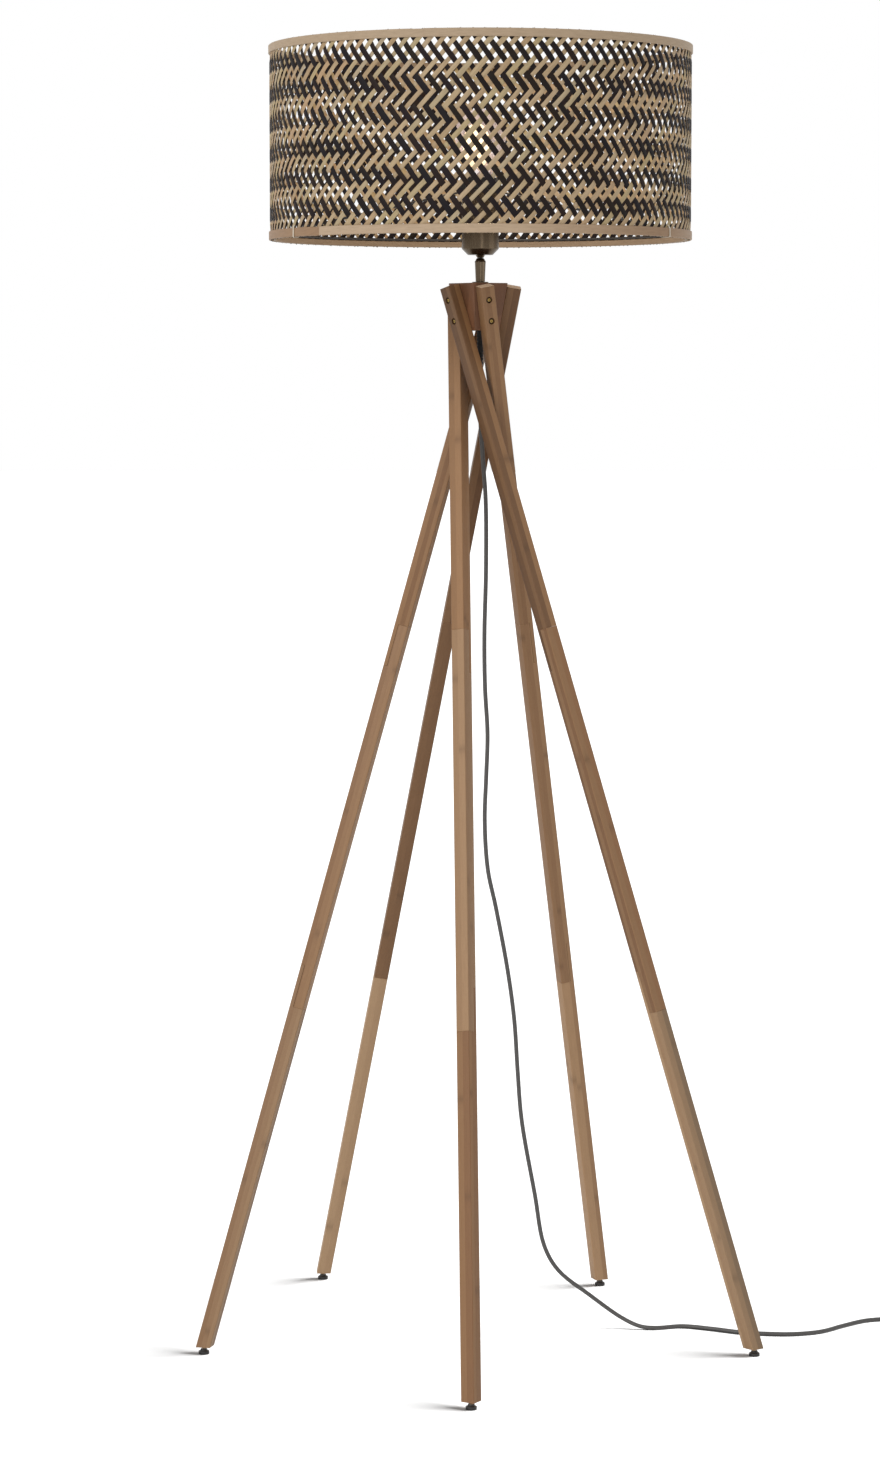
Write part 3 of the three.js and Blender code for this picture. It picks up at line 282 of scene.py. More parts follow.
def laminated_bamboo(name, place, seed, pale, dark, settings, lean=0.0):
    # Carbonised moso bamboo, glued up from long strips, planed and oiled: straight silky fibres,
    # each strip of its own brown, short dark flecks of pores, and a darker line at a strip's node.
    # With a lean, the strips on the left are lighter by that share than those on the right:
    # painted light and shade across the leg, partly the strips' own tone.
    look = Look(name, Specular_IOR_Level=0.4, IOR=1.5)
    local = look.local(place)
    x, y, z = look.parts(local)
    wavy = look.noise(look.grained(local, 30, 260), 1.0)
    drifted = look.maths("MULTIPLY_ADD", wavy, 1.4 * MM, x)
    column = look.maths("ADD", look.maths("DIVIDE", drifted, settings.lamella), 0.5)
    column = look.maths("FLOOR", column)
    half = look.maths("FLOOR", look.maths("MULTIPLY", y, 1 / (11 * MM)))
    cell = look.add("ShaderNodeCombineXYZ", 0, {"X": column, "Y": half, "Z": float(seed)})
    strip = look.add("ShaderNodeTexWhiteNoise", "Value", {"Vector": cell}, noise_dimensions="3D")
    streaks = look.noise(look.grained(local, 2.2, 120), 5.0, 0.62)
    fibres = look.noise(look.grained(local, 0.5, 22), 2.0)

    # A node crosses its strip every so often, at a height of the strip's own
    cycles = look.maths("ADD", look.maths("DIVIDE", z, settings.node_spacing), strip)
    phase = look.maths("WRAP", look.maths("MULTIPLY_ADD", streaks, 0.02, cycles), 1.0, 0.0)
    away = look.maths("ABSOLUTE", look.maths("SUBTRACT", phase, 0.5))
    node_line = look.ramp(
        away, (0.0, (0.5,) * 3), (0.006, (0.34,) * 3), (0.016, (0.1,) * 3), (0.035, (0, 0, 0))
    )

    tone = look.mix(strip, opaque(dark), opaque(pale))
    # Painted light and shade: strips towards the scene's left are scaled lighter by the lean
    left = place.to_3x3().inverted() @ Vector((-1, 0, 0))
    side = look.maths("MULTIPLY_ADD", half, 2 * left.y * lean, 1 + left.y * lean)
    side = look.maths("MULTIPLY_ADD", column, left.x * lean / 2, side)
    tone = look.add("ShaderNodeVectorMath", "Vector", {0: tone, "Scale": side}, operation="SCALE")
    streak_tone = look.ramp(
        streaks, (0.3, (0.84, 0.81, 0.78)), (0.5, (0.98, 0.975, 0.97)), (0.7, (1.06, 1.06, 1.07))
    )
    tone = look.mix(0.8, tone, streak_tone, "MULTIPLY")
    fleck = look.ramp(fibres, (0.3, (0.7, 0.64, 0.58)), (0.42, (1, 1, 1)))
    tone = look.mix(0.7, tone, fleck, "MULTIPLY")
    tone = look.mix(node_line, tone, opaque(shifted(dark, 0.6)))
    gloss = look.ranged(streaks, 0.62, 0.44)
    height = look.maths("MULTIPLY_ADD", fibres, 0.6, streaks)
    return look.finish(Base_Color=tone, Roughness=gloss, Normal=look.bump(height, 0.35, 0.25))


def end_grain(name, place, settings):
    # Sawn bamboo across its fibres: paler than the sides, partly its own tone and partly
    # painted light as pale as the lit tops of the legs, packed with small dark dots.
    look = Look(name, Roughness=0.7, Specular_IOR_Level=0.3)
    dots = look.cells(look.grained(look.local(place), 0.9, 40))
    tone = look.ramp(dots, (0.12, shifted(settings.end_grain, 0.65)), (0.34, settings.end_grain))
    return look.finish(Base_Color=tone, Normal=look.bump(dots, 0.3, 0.2))


def split_bamboo(name, colour, spread, roughness, flecks=0.6, stained=0.8, sheen=0.35):
    # Bamboo split into thin slats and scraped: fine lengthwise fibres, each slat of its own
    # tint, browner where the stick was. The mesh gives millimetres across and along a slat,
    # the slat's number and how browned it is.
    look = Look(name, Specular_IOR_Level=sheen)
    slat = look.add("ShaderNodeAttribute", "Vector", attribute_name="slat")
    *_, number = look.parts(slat)
    own = look.add("ShaderNodeTexWhiteNoise", "Value", {"W": number}, noise_dimensions="1D")
    fibres = look.noise(look.scaled(slat, 1 / 0.45, 1 / 26, 7.3), 3.0, 0.6)
    stains = look.noise(look.scaled(slat, 1 / 9, 1 / 70, 3.1), 2.0)
    stops = ((index / (len(spread) - 1), shade) for index, shade in enumerate(spread))
    tint = look.ramp(own, *stops)
    tone = look.mix(0.75, opaque(colour), tint)
    for pattern, share, low in ((fibres, flecks, 0.62), (stains, stained, 0.72)):
        shade = look.ramp(
            pattern, (0.32, (low, low * 0.97, low * 0.93)), (0.56, (1, 1, 1)), (0.75, (1.1,) * 3)
        )
        tone = look.mix(share, tone, shade, "MULTIPLY")
    browning = look.add("ShaderNodeAttribute", "Fac", attribute_name="browning")
    tone = look.mix(browning, tone, opaque((0.66, 0.55, 0.46)), "MULTIPLY")
    gloss = look.ranged(fibres, roughness + 0.12, roughness - 0.06)
    return look.finish(Base_Color=tone, Roughness=gloss, Normal=look.bump(fibres, 0.4, 0.12))


def worn_metal(name, colour, roughness, tarnish_and_reflection, patch, turned=True, run=2):
    # Turned brass or steel: fine rings left by the lathe and a thin uneven patina, so that the
    # highlights break up a little and the hollows look darker than the ridges. Where `run`
    # stretches the patina's clouds far along the height, they become upright light and dark
    # streaks that are painted reflections.
    look = Look(name, Metallic=1.0)
    coords = look.coords()
    clouds = look.noise(look.grained(coords, patch, patch * run), 4.0, 0.6)
    tone = look.mix(clouds, opaque(shifted(colour, 1 - tarnish_and_reflection)), opaque(colour))
    marks = look.noise(look.grained(coords, *((40, 0.35) if turned else (0.6, 0.6))), 2.0)
    gloss = look.ranged(clouds, roughness + 0.1, roughness - 0.05)
    return look.finish(Base_Color=tone, Roughness=gloss, Normal=look.bump(marks, 0.12, 0.05))


def moulded_plastic(name, colour, roughness, grain):
    # Injection-moulded plastic from a spark-eroded mould: an even colour with a fine pebble
    # that softens the highlight, and slight wipes of dust and handling.
    look = Look(name, IOR=1.5)
    coords = look.coords()
    pebble = look.cells(look.grained(coords, grain, grain))
    wipes = look.noise(look.grained(coords, 14, 20), 4.0)
    tone = look.mix(wipes, opaque(shifted(colour, 0.85)), opaque(shifted(colour, 1.25)))
    gloss = look.ranged(wipes, roughness - 0.06, roughness + 0.1)
    return look.finish(Base_Color=tone, Roughness=gloss, Normal=look.bump(pebble, 0.25, 0.04))


def cord_sheath(name, colour, diameter):
    # Flexible PVC cord: nearly smooth and softly glossy, a little dusty where it lies, with the
    # faint lengthwise ripple of the twisted cores inside.
    look = Look(name, Roughness=0.46, IOR=1.53)
    coords = look.coords()
    dust = look.noise(look.grained(coords, 9, 9), 5.0, 0.65)
    tone = look.ramp(
        dust, (0.35, shifted(colour, 0.8)), (0.55, colour), (0.72, shifted(colour, 1.3, 0.02))
    )
    ripple = look.noise(look.grained(coords, diameter / MM, diameter / MM), 1.0)
    return look.finish(Base_Color=tone, Normal=look.bump(ripple, 0.25, 0.3))


def lit_core(name, colour, strength):
    # The lit filaments behind frosted glass: one warm even glow, weaker at its foot.
    material = bpy.data.materials.new(name)
    tree = emptied(material)
    coords = add_node(tree, "ShaderNodeTexCoord").outputs["Object"]
    height = add_node(tree, "ShaderNodeSeparateXYZ", {0: coords}).outputs["Z"]
    low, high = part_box("bulb_glass")
    inputs = {"Value": height, "From Min": low.z, "From Max": high.z}
    share = add_node(tree, "ShaderNodeMapRange", inputs)
    glow = add_node(
        tree,
        "ShaderNodeValToRGB",
        {0: share.outputs[0]},
        ((0.05, shifted(colour, 0.5, 0.12)), (0.4, colour), (0.85, shifted(colour, 0.8, 0.05))),
    )
    inputs = {"Color": glow.outputs["Color"], "Strength": strength}
    light = add_node(tree, "ShaderNodeEmission", inputs)
    add_node(tree, "ShaderNodeOutputMaterial", {"Surface": light.outputs[0]})
    return material


def clear_glass(name, colour):
    # Thin frosted bulb glass: nearly see-through from the front, milkier where it turns away,
    # with the sharp highlight of its smooth outer side.
    look = Look(name, Roughness=0.12, IOR=1.5)
    frost = look.noise(look.grained(look.coords(), 6, 6), 3.0)
    tone = look.mix(frost, opaque(shifted(colour, 0.9)), opaque(colour))
    facing = look.add("ShaderNodeLayerWeight", "Facing", {"Blend": 0.35})
    return look.finish(Base_Color=tone, Alpha=look.ranged(facing, 0.28, 0.62))


# Meshes


def mesh_piece(name, vertices, faces):
    """A smooth mesh object, with sharp edges only where its faces meet steeply."""
    mesh = bpy.data.meshes.new(name)
    mesh.from_pydata([tuple(vertex) for vertex in vertices], [], faces)
    return show(name, shaded(mesh))


def shaded(mesh):
    mesh.shade_smooth()
    mesh.set_sharp_from_angle(angle=FACET_ANGLE)
    return mesh


def show(name, data):
    """A new object in the scene. A piece's name holds no spaces."""
    piece = bpy.data.objects.new(name.replace(" ", "_"), data)
    bpy.context.scene.collection.objects.link(piece)
    return piece


def settle(piece, material, body, slot, *nodes):
    """Gives a piece its material and its body, and hides the CAD nodes it stands for. The slot is
    not used.
    """
    piece.data.materials.append(material)
    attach(piece, body)
    if nodes:
        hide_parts(*nodes)
    return piece


def dress(node, material):
    """Shows a CAD node as it is, in a material of its own."""
    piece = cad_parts[node]
    piece.data.materials.clear()
    piece.data.materials.append(material)


def mark(piece, name, kind, values):
    """Stores a number or a vector for each corner of a piece's mesh."""
    attribute = piece.data.attributes.new(name, kind, "POINT")
    attribute.data.foreach_set("vector" if kind == "FLOAT_VECTOR" else "value", values)


def soften(points, radius, steps=4, loop=False):
    """A 2-D outline with its corners rounded."""
    outline = [Vector(point) for point in points]
    count = len(outline)
    soft = []
    for index, corner in enumerate(outline):
        if not loop and index in (0, count - 1):
            soft.append(corner)
            continue
        before = outline[index - 1] - corner
        after = outline[(index + 1) % count] - corner
        cut = min(radius, before.length / 2, after.length / 2)
        start = corner + before.normalized() * cut
        end = corner + after.normalized() * cut
        for step in range(steps + 1):
            share = step / steps
            soft.append(start.lerp(corner, share).lerp(corner.lerp(end, share), share))
    return soft


def lathe(name, profile, place=ON_AXIS, sides=96, closed=False):
    """A turned piece from (radius, height) in millimetres, its solid to the profile's left."""
    rings, vertices = [], []
    for radius, height in profile:
        count = sides if radius > 1e-6 else 1
        rings.append([len(vertices) + side % count for side in range(sides)])
        for side in range(count):
            turn = 2 * math.pi * side / sides
            point = Vector((radius * math.cos(turn), radius * math.sin(turn), height))
            vertices.append(place @ (point * MM))
    after = rings[1:] + rings[:1] if closed else rings[1:]
    faces = []
    for low, high in zip(rings, after):
        for side in range(sides):
            following = (side + 1) % sides
            corners = dict.fromkeys((low[side], low[following], high[following], high[side]))
            if len(corners) > 2:
                faces.append(tuple(corners))
    return mesh_piece(name, vertices, faces)


def band_profile(hole, rim, bottom, top):
    """A flat ring's section with softened edges."""
    corners = [(hole, bottom), (rim, bottom), (rim, top), (hole, top)]
    return soften(corners, 0.4, 3, loop=True)


def loft(name, sections, place=Matrix()):
    """A closed piece through outlines that have as many points each, with both ends capped."""
    count = len(sections[0])
    vertices = [place @ (Vector(point) * MM) for section in sections for point in section]
    faces = [tuple(reversed(range(count)))]
    for row in range(len(sections) - 1):
        for side in range(count):
            following = (side + 1) % count
            low, high = row * count, (row + 1) * count
            faces.append((low + side, low + following, high + following, high + side))
    faces.append(tuple(range(len(vertices) - count, len(vertices))))
    return mesh_piece(name, vertices, faces)


def rounded_rectangle(width, depth, radius, steps=6):
    """Outline round the origin, anticlockwise."""
    points = []
    for quarter, (x, y) in enumerate(((1, 1), (-1, 1), (-1, -1), (1, -1))):
        for step in range(steps + 1):
            turn = math.pi / 2 * (quarter + step / steps)
            points.append((
                x * (width / 2 - radius) + radius * math.cos(turn),
                y * (depth / 2 - radius) + radius * math.sin(turn),
            ))
    return points


def apply_modifiers(piece, *cutters):
    """Makes a piece's modifiers part of its mesh, and drops the solids that cut it."""
    evaluated = piece.evaluated_get(bpy.context.evaluated_depsgraph_get())
    mesh = shaded(bpy.data.meshes.new_from_object(evaluated))
    piece.modifiers.clear()
    old = piece.data
    piece.data = mesh
    for data in (old, *(cutter.data for cutter in cutters)):
        bpy.data.meshes.remove(data)


def cut_with(piece, cutter):
    modifier = piece.modifiers.new("Cut", "BOOLEAN")
    modifier.operation = "DIFFERENCE"
    modifier.solver = "EXACT"
    modifier.object = cutter


class Slats:
    """Collects thin slats into one mesh, with millimetres across and along each, and its number."""

    # Keeps the grain of a slat's back unlike that of its front
    BACK_SHIFT = 40.0
    # Where the corners of a slat's section lie, in shares of its width and its thickness
    SECTION = ((-0.5, 0.0), (-0.38, 0.5), (0.38, 0.5), (0.5, 0.0), (0.38, -0.5), (-0.38, -0.5))

    def __init__(self):
        self.vertices, self.faces, self.slats, self.count = [], [], [], 0

    def add(self, centres, outwards, acrosses, widths, thickness, number, closed=False):
        """Sweeps a crowned section along `centres`; all lengths are in millimetres."""
        side, rise = np.array(self.SECTION).T
        spread = widths[:, None] * side[None, :]
        points = (
            centres[:, None, :]
            + acrosses[:, None, :] * spread[:, :, None]
            + outwards[:, None, :] * (thickness * rise)[None, :, None]
        )
        steps = np.linalg.norm(np.diff(centres, axis=0), axis=1)
        along = np.concatenate(([0.0], np.cumsum(steps)))
        rows, columns = spread.shape
        slat = np.empty((rows, columns, 3))
        slat[:, :, 0] = spread + np.where(rise < 0, self.BACK_SHIFT, 0.0)
        slat[:, :, 1] = along[:, None]
        slat[:, :, 2] = number
        self.vertices.append(points.reshape(-1, 3) * MM)
        self.slats.append(slat.reshape(-1, 3))
        base = self.count
        row = np.arange(rows if closed else rows - 1)[:, None]
        following = (row + 1) % rows
        column = np.arange(columns)[None, :]
        beside = (column + 1) % columns
        rows_and_columns = ((row, column), (row, beside), (following, beside), (following, column))
        quads = np.stack([base + a * columns + b for a, b in rows_and_columns], axis=-1)
        self.faces.extend(map(tuple, quads.reshape(-1, 4).tolist()))
        if not closed:
            self.faces.append(tuple(range(base + columns - 1, base - 1, -1)))
            last = base + (rows - 1) * columns
            self.faces.append(tuple(range(last, last + columns)))
        self.count += rows * columns

    def piece(self, name):
        piece = mesh_piece(name, np.concatenate(self.vertices), self.faces)
        mark(piece, "slat", "FLOAT_VECTOR", np.concatenate(self.slats).ravel())
        return piece


# Pieces


def place_light(name, data, strength, turn, rise, distance, height):
    """A lamp that looks at the axis, `turn` degrees right of the front and `rise` above level."""
    data.energy = strength
    light = show(name, data)
    turn, rise = math.radians(turn), math.radians(rise)
    level = math.cos(rise)
    place = Vector((math.sin(turn) * level, -math.cos(turn) * level, math.sin(rise)))
    light.location = place * distance + Vector((AXIS.x, AXIS.y, height))
    light.rotation_euler = place.to_track_quat("Z", "Y").to_euler()
    return light


def link_light(light, pieces, excluded):
    """Makes a light reach these pieces alone, or everything but them."""
    reach = bpy.data.collections.new(f"{light.name} reach")
    for index, piece in enumerate(pieces):
        reach.objects.link(piece)
        if excluded:
            reach.collection_objects[index].light_linking.link_state = "EXCLUDE"
    light.light_linking.receiver_collection = reach


class FLOORLAMP_OT_stage(bpy.types.Operator):
    """Sets up the camera, the floor, the studio lights and the white surroundings"""

    bl_idname = "floorlamp.stage"
    bl_label = "Stage"

    def execute(self, context):
        settings = context.scene.floorlamp_stage
        self.add_camera(context, settings)
        self.add_surroundings(context, settings)
        self.add_lights(settings, self.add_floor(settings))
        return {"FINISHED"}

    def add_camera(self, context, settings):
        data = bpy.data.cameras.new("Camera")
        data.lens = settings.focal_length
        data.sensor_width = 36
        data.sensor_fit = "AUTO"
        data.clip_end = 50
        camera = show("Camera", data)
        camera.location = (AXIS.x, AXIS.y - settings.distance, settings.height)
        camera.rotation_euler = (math.pi / 2 - settings.tilt, 0, settings.pan)
        context.scene.camera = camera

    def add_surroundings(self, context, settings):
        # White where it is seen, mirrored or looked through, and weaker where it lights
        world = bpy.data.worlds.new("Studio")
        tree = emptied(world)
        rays = add_node(tree, "ShaderNodeLightPath").outputs
        seen = rays["Is Camera Ray"]
        for kind in ("Is Glossy Ray", "Is Transmission Ray"):
            inputs = {0: seen, 1: rays[kind]}
            seen = add_node(tree, "ShaderNodeMath", inputs, operation="MAXIMUM").outputs[0]
        inputs = {"Value": seen, "To Min": settings.fill, "To Max": 1.0}
        strength = add_node(tree, "ShaderNodeMapRange", inputs).outputs[0]
        inputs = {"Color": opaque(settings.backdrop), "Strength": strength}
        background = add_node(tree, "ShaderNodeBackground", inputs).outputs[0]
        add_node(tree, "ShaderNodeOutputWorld", {"Surface": background})
        context.scene.world = world

    def add_floor(self, settings):
        # Seamless paper sweep: matt, even and so bright that only the feet's soft shadows show
        half = 60.0
        corners = [(-half, -half, 0), (half, -half, 0), (half, half, 0), (-half, half, 0)]
        floor = mesh_piece("Floor", corners, [(0, 1, 2, 3)])
        material = bpy.data.materials.new("Seamless paper")
        tree = emptied(material)
        # How much light the paper sends back: to the camera, and to the lamp
        colours = [opaque(shifted(settings.backdrop, share)) for share in (0.55, 0.36)]
        seen, lighting = (
            add_node(tree, "ShaderNodeBsdfDiffuse", {"Color": colour}).outputs[0]
            for colour in colours
        )
        camera_ray = add_node(tree, "ShaderNodeLightPath").outputs["Is Camera Ray"]
        inputs = {0: camera_ray, 1: lighting, 2: seen}
        surface = add_node(tree, "ShaderNodeMixShader", inputs).outputs[0]
        add_node(tree, "ShaderNodeOutputMaterial", {"Surface": surface})
        floor.data.materials.append(material)
        return floor

    def add_lights(self, settings, floor):
        # Broad soft lights, far off. The first lights only the paper, from the right, and leaves
        # the feet's shadows on it. The second lights only the lamp, from the left and in front.
        # Each: where it stands from the lamp in degrees right of the front and above level, how
        # wide it looks, its strength, and whether it is the paper's.
        lights = (
            ("Paper_light", 90, 44, 42, settings.paper_light, True),
            ("Lamp_light", -38, 32, 50, settings.lamp_light, False),
        )
        for name, turn, rise, width, strength, on_paper in lights:
            data = bpy.data.lights.new(name, "SUN")
            data.angle = math.radians(width)
            light = place_light(name, data, strength, turn, rise, 4, 0)
            link_light(light, [floor], not on_paper)


# Where the cord runs, in millimetres from the lamp's axis and above the floor
CORD_ROUTE = (
    (0, 0, 1141.7), (0, 0, 1131.7), (0, 0, 1090), (3, 0, 1040), (6.5, 0, 990), (7, 0, 908),
    (5.2, 0, 830), (6, 0, 770), (9, 0, 715), (7.5, 0, 665), (5.8, 1, 613), (9.5, 2, 555),
    (19, 3, 510), (33, 5, 435), (41, 7, 375), (45, 10, 315), (50, 13, 254), (66, 18, 163),
    (77, 21, 102), (94, 24, 71), (132, 27, 40), (170, 26, 13), (192, 20, 4), (210, 18, 2.6),
    (243, 27, 2.6), (278, 14, 2.6), (309, -2, 2.6), (337, -9, 2.6), (371, -11, 2.6),
    (405, 1, 2.6), (435, 31, 2.6), (464, 57, 2.6), (488, 66, 2.6),
)
SWITCH_PLACE = (594, 74)
SWITCH_HALF_LENGTH = 42.3
SWITCH_CORD_HEIGHT = 8
COIL_PLACE = (632, -22)
COIL_RADIUS = 36
COIL_PITCH = 5.5
COIL_INWARD, COIL_CROSSING, COIL_OUTWARD = 3, 0.5, 2.75
LIE_HEIGHT = 2.6
PLUG_HEIGHT = 7


def cord_run(points):
    """Points in the scene, in metres, from millimetres off the axis."""
    return [Vector((AXIS.x, AXIS.y, 0)) + Vector(point) * MM for point in points]


def coil_points():
    """The stored cord: down from the switch, wound inwards, up and outwards, and to the plug."""
    # Straight out of the switch, then a bend down to the floor at the coil's right side
    straight, bend = 10, 26
    start, back = SWITCH_PLACE[0] + SWITCH_HALF_LENGTH, SWITCH_PLACE[1]
    side = COIL_PLACE[0] + COIL_RADIUS
    over = (side - start - straight) * math.sqrt(0.5)
    drop = bend * (1 - math.sqrt(0.5))
    points = [
        (start, back, SWITCH_CORD_HEIGHT),
        (start + straight, back, SWITCH_CORD_HEIGHT),
        (start + straight + over, back - drop, (SWITCH_CORD_HEIGHT + LIE_HEIGHT) / 2),
        (side, back - bend, LIE_HEIGHT + 0.3),
        (side, (back - bend + COIL_PLACE[1]) / 2, LIE_HEIGHT),
    ]
    steps = 24
    turns = COIL_INWARD + COIL_CROSSING + COIL_OUTWARD
    for index in range(round(turns * steps) + 1):
        turn = index / steps
        past = min(max(turn - COIL_INWARD, 0), COIL_CROSSING)
        out = max(turn - COIL_INWARD - COIL_CROSSING, 0)
        dip = min(past, COIL_CROSSING - past)
        inner = COIL_RADIUS - COIL_PITCH * COIL_INWARD
        radius = inner + COIL_PITCH * (out - dip)
        if turn <= COIL_INWARD:
            radius = COIL_RADIUS - COIL_PITCH * turn
        share = past / COIL_CROSSING
        points.append((
            COIL_PLACE[0] + radius * math.cos(2 * math.pi * turn),
            COIL_PLACE[1] - radius * math.sin(2 * math.pi * turn),
            LIE_HEIGHT + COIL_PITCH * share * share * (3 - 2 * share),
        ))
    x, y, z = points[-1]
    points += [
        (x - 13, y, z - 0.3),
        (x - 26, y, (z + PLUG_HEIGHT) / 2),
        (x - 62, y, PLUG_HEIGHT),
        (x - 72, y, PLUG_HEIGHT),
    ]
    return points


def smooth_curve(name, points, radius):
    """A round cord along a centripetal spline through the points."""
    data = bpy.data.curves.new(name, "CURVE")
    data.dimensions = "3D"
    data.bevel_depth = radius
    data.bevel_resolution = 5
    data.resolution_u = 6
    data.use_fill_caps = True
    spline = data.splines.new("BEZIER")
    spline.bezier_points.add(len(points) - 1)
    first, second, *_, last_but_one, last = points
    padded = [first - (second - first), *points, last + (last - last_but_one)]
    for knot, before, point, after in zip(spline.bezier_points, padded, points, padded[2:]):
        back = math.sqrt((point - before).length)
        forth = math.sqrt((after - point).length)
        slope = (
            (point - before) / back
            - (after - before) / (back + forth)
            + (after - point) / forth
        )
        knot.co = point
        knot.handle_left_type = knot.handle_right_type = "FREE"
        knot.handle_left = point - slope * back / 3
        knot.handle_right = point + slope * forth / 3
    return show(name, data)


def curve_length(piece):
    """Real length of a curve's line, measured on a thin copy of it."""
    thin = piece.data.copy()
    thin.bevel_depth = 0
    thin.use_fill_caps = False
    copy = bpy.data.objects.new("Measure", thin)
    line = copy.to_mesh()
    corners = [vertex.co.copy() for vertex in line.vertices]
    length = sum((b - a).length for a, b in zip(corners, corners[1:]))
    copy.to_mesh_clear()
    bpy.data.objects.remove(copy)
    bpy.data.curves.remove(thin)
    return length


class FLOORLAMP_OT_cord(bpy.types.Operator):
    """Lays the mains cord: free cord, foot switch, coil of stored cord and plug"""

    bl_idname = "floorlamp.cord"
    bl_label = "Cord, Switch and Plug"

    def execute(self, context):
        settings = context.scene.floorlamp_cord
        fittings = context.scene.floorlamp_fittings
        sheath = cord_sheath("PVC cord sheath", settings.sheath, settings.diameter)
        plastic = moulded_plastic("Moulded ABS, switch and plug", fittings.plastic, 0.4, 0.5)
        rubber = moulded_plastic("Moulded soft PVC", fittings.plastic, 0.55, 0.7)
        brass = worn_metal("Nickel-plated brass pins", fittings.nickel, 0.3, 0.25, 4, turned=False)
        relief = self.add_relief(rubber)
        switch, button = self.add_switch(plastic, rubber)
        plug, pins = self.add_plug(plastic, brass)

        # Off the floor and straight into the switch
        start, back = SWITCH_PLACE[0] - SWITCH_HALF_LENGTH, SWITCH_PLACE[1]
        free = [*CORD_ROUTE, (start - 21, back, 4)]
        free += [(x, back, SWITCH_CORD_HEIGHT) for x in (start - 10, start)]
        runs = (
            ("Free cord", "cord_free", free, "fitting", "loose", (relief, switch, button)),
            ("Coiled cord", "cord_coil", coil_points(), "plug", "coiled", (plug, pins)),
        )
        for name, node, route, far_end, lay, pieces in runs:
            points = cord_run(route)
            cord = smooth_curve(name, points, settings.diameter / 2)
            settle(cord, sheath, "stand", "cord_sheath", node)
            curve_length(cord)
        return {"FINISHED"}

    def add_relief(self, rubber):
        # Tapered sleeve with grooves all round that let it bend, under a flange in the hub
        bottom, top, _ = extent("strain_relief")
        hole, thin, thick, flange, grooves = 2.55, 3.1, 4.1, 8.6, 8
        groove = ((0, -0.9), (0.15, -0.75), (0.75, -0.55), (0.75, 0.55), (0.15, 0.75), (0, 0.9))
        profile = [(hole, bottom), (thin - 0.2, bottom), (thin, bottom + 0.4)]
        for index in range(grooves):
            share = (index + 0.5) / grooves
            height = bottom + 2 + (top - bottom - 11.2) * share
            radius = thin + (thick - thin) * share
            profile += [(radius - dip, height + rise) for dip, rise in groove]
        profile += [
            (thick, top - 4.4), (4.6, top - 3.4), (flange - 0.3, top - 3.2), (flange, top - 2.8),
            (flange, top - 0.3), (flange - 0.3, top), (hole, top),
        ]
        piece = lathe("Strain relief", profile, closed=True)
        return settle(piece, rubber, "stand", "bakelite", "strain_relief")

    def add_switch(self, plastic, rubber):
        low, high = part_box("switch_housing")
        centre = (low + high) / 2
        place = Matrix.Translation((centre.x, centre.y, 0))
        width, depth = (high.x - low.x) / MM, (high.y - low.y) / MM
        base, top = low.z / MM, high.z / MM
        seam, corner = base + 9.5, 12
        # (inset from the widest outline, height): feet, parting line and the domed upper half
        rows = [
            (2.2, base), (1.2, base + 0.3), (0.5, base + 1.2), (0.15, base + 4), (0, seam - 0.6),
            (0.1, seam - 0.25), (0.5, seam - 0.2), (0.5, seam + 0.2), (0.1, seam + 0.25),
            (0, seam + 0.6), (0.25, base + 14), (0.7, base + 17), (1.6, base + 19.6),
            (2.9, base + 21.1), (4.4, base + 21.8), (6.5, top),
        ]
        sections = []
        for inset, height in rows:
            outline = rounded_rectangle(width - 2 * inset, depth - 2 * inset, corner - inset)
            sections.append([(x, y, height) for x, y in outline])
        housing = loft("Foot switch housing", sections, place)
        # Dished seat round the button
        seat = lathe("Seat", [(0, 19.4), (9.9, 19.4), (10.3, 19.8), (12.6, 23), (0, 23)], place)
        cut_with(housing, seat)
        mouths = []
        for side in (-1, 1):
            spot = (centre.x + side * width / 2 * MM, centre.y, SWITCH_CORD_HEIGHT * MM)
            aim = Matrix.Translation(spot) @ Matrix.Rotation(side * math.pi / 2, 4, "Y")
            mouth = [(0, -3), (2.75, -3), (2.75, -0.6), (3.3, 0.4), (0, 0.4)]
            mouths.append(lathe("Mouth", mouth, aim, 32))
            cut_with(housing, mouths[-1])
        apply_modifiers(housing, seat, *mouths)
        settle(housing, plastic, "stand", "switch_plastic", "switch_housing")

        _, top, _ = extent("switch_button")
        profile = soften(
            [(0, top - 6.8), (9.4, top - 6.8), (9.4, top - 0.6), (6.8, top), (0, top - 0.7)], 0.8
        )
        button = lathe("Foot switch button", profile, place, 64)
        settle(button, rubber, "switch_button", "switch_plastic", "switch_button")
        return housing, button

    def add_plug(self, plastic, brass):
        low, high = (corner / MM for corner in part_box("plug_body"))
        right, left = high.x, low.x
        y, z = (low.y + high.y) / 2, (low.z + high.z) / 2
        width, height = high.y - low.y, high.z - low.z
        # From the cord end to the pin face: (distance from the cord end, width, height)
        rows = (
            (0, 7.6, 7.6), (0.3, 8.6, 8.4), (1.2, 9.2, 8.8), (5, 9.8, 9.2), (9, 11.4, 9.8),
            (12.5, 16.5, 10.8), (16, 25.5, 12.2), (19, 31.5, 13.2), (22, 34.2, 13.7),
            (25.5, width, height), (33.6, width, height), (35.0, width - 0.7, height - 0.6),
            (35.8, width - 2, height - 1.8),
        )
        sections = []
        for run, across, tall in rows:
            outline = rounded_rectangle(across, tall, min(across, tall) / 2 - 0.05, 5)
            sections.append([(right - run, y - across_y, z + up) for across_y, up in outline])
        body = loft("Plug body", sections)
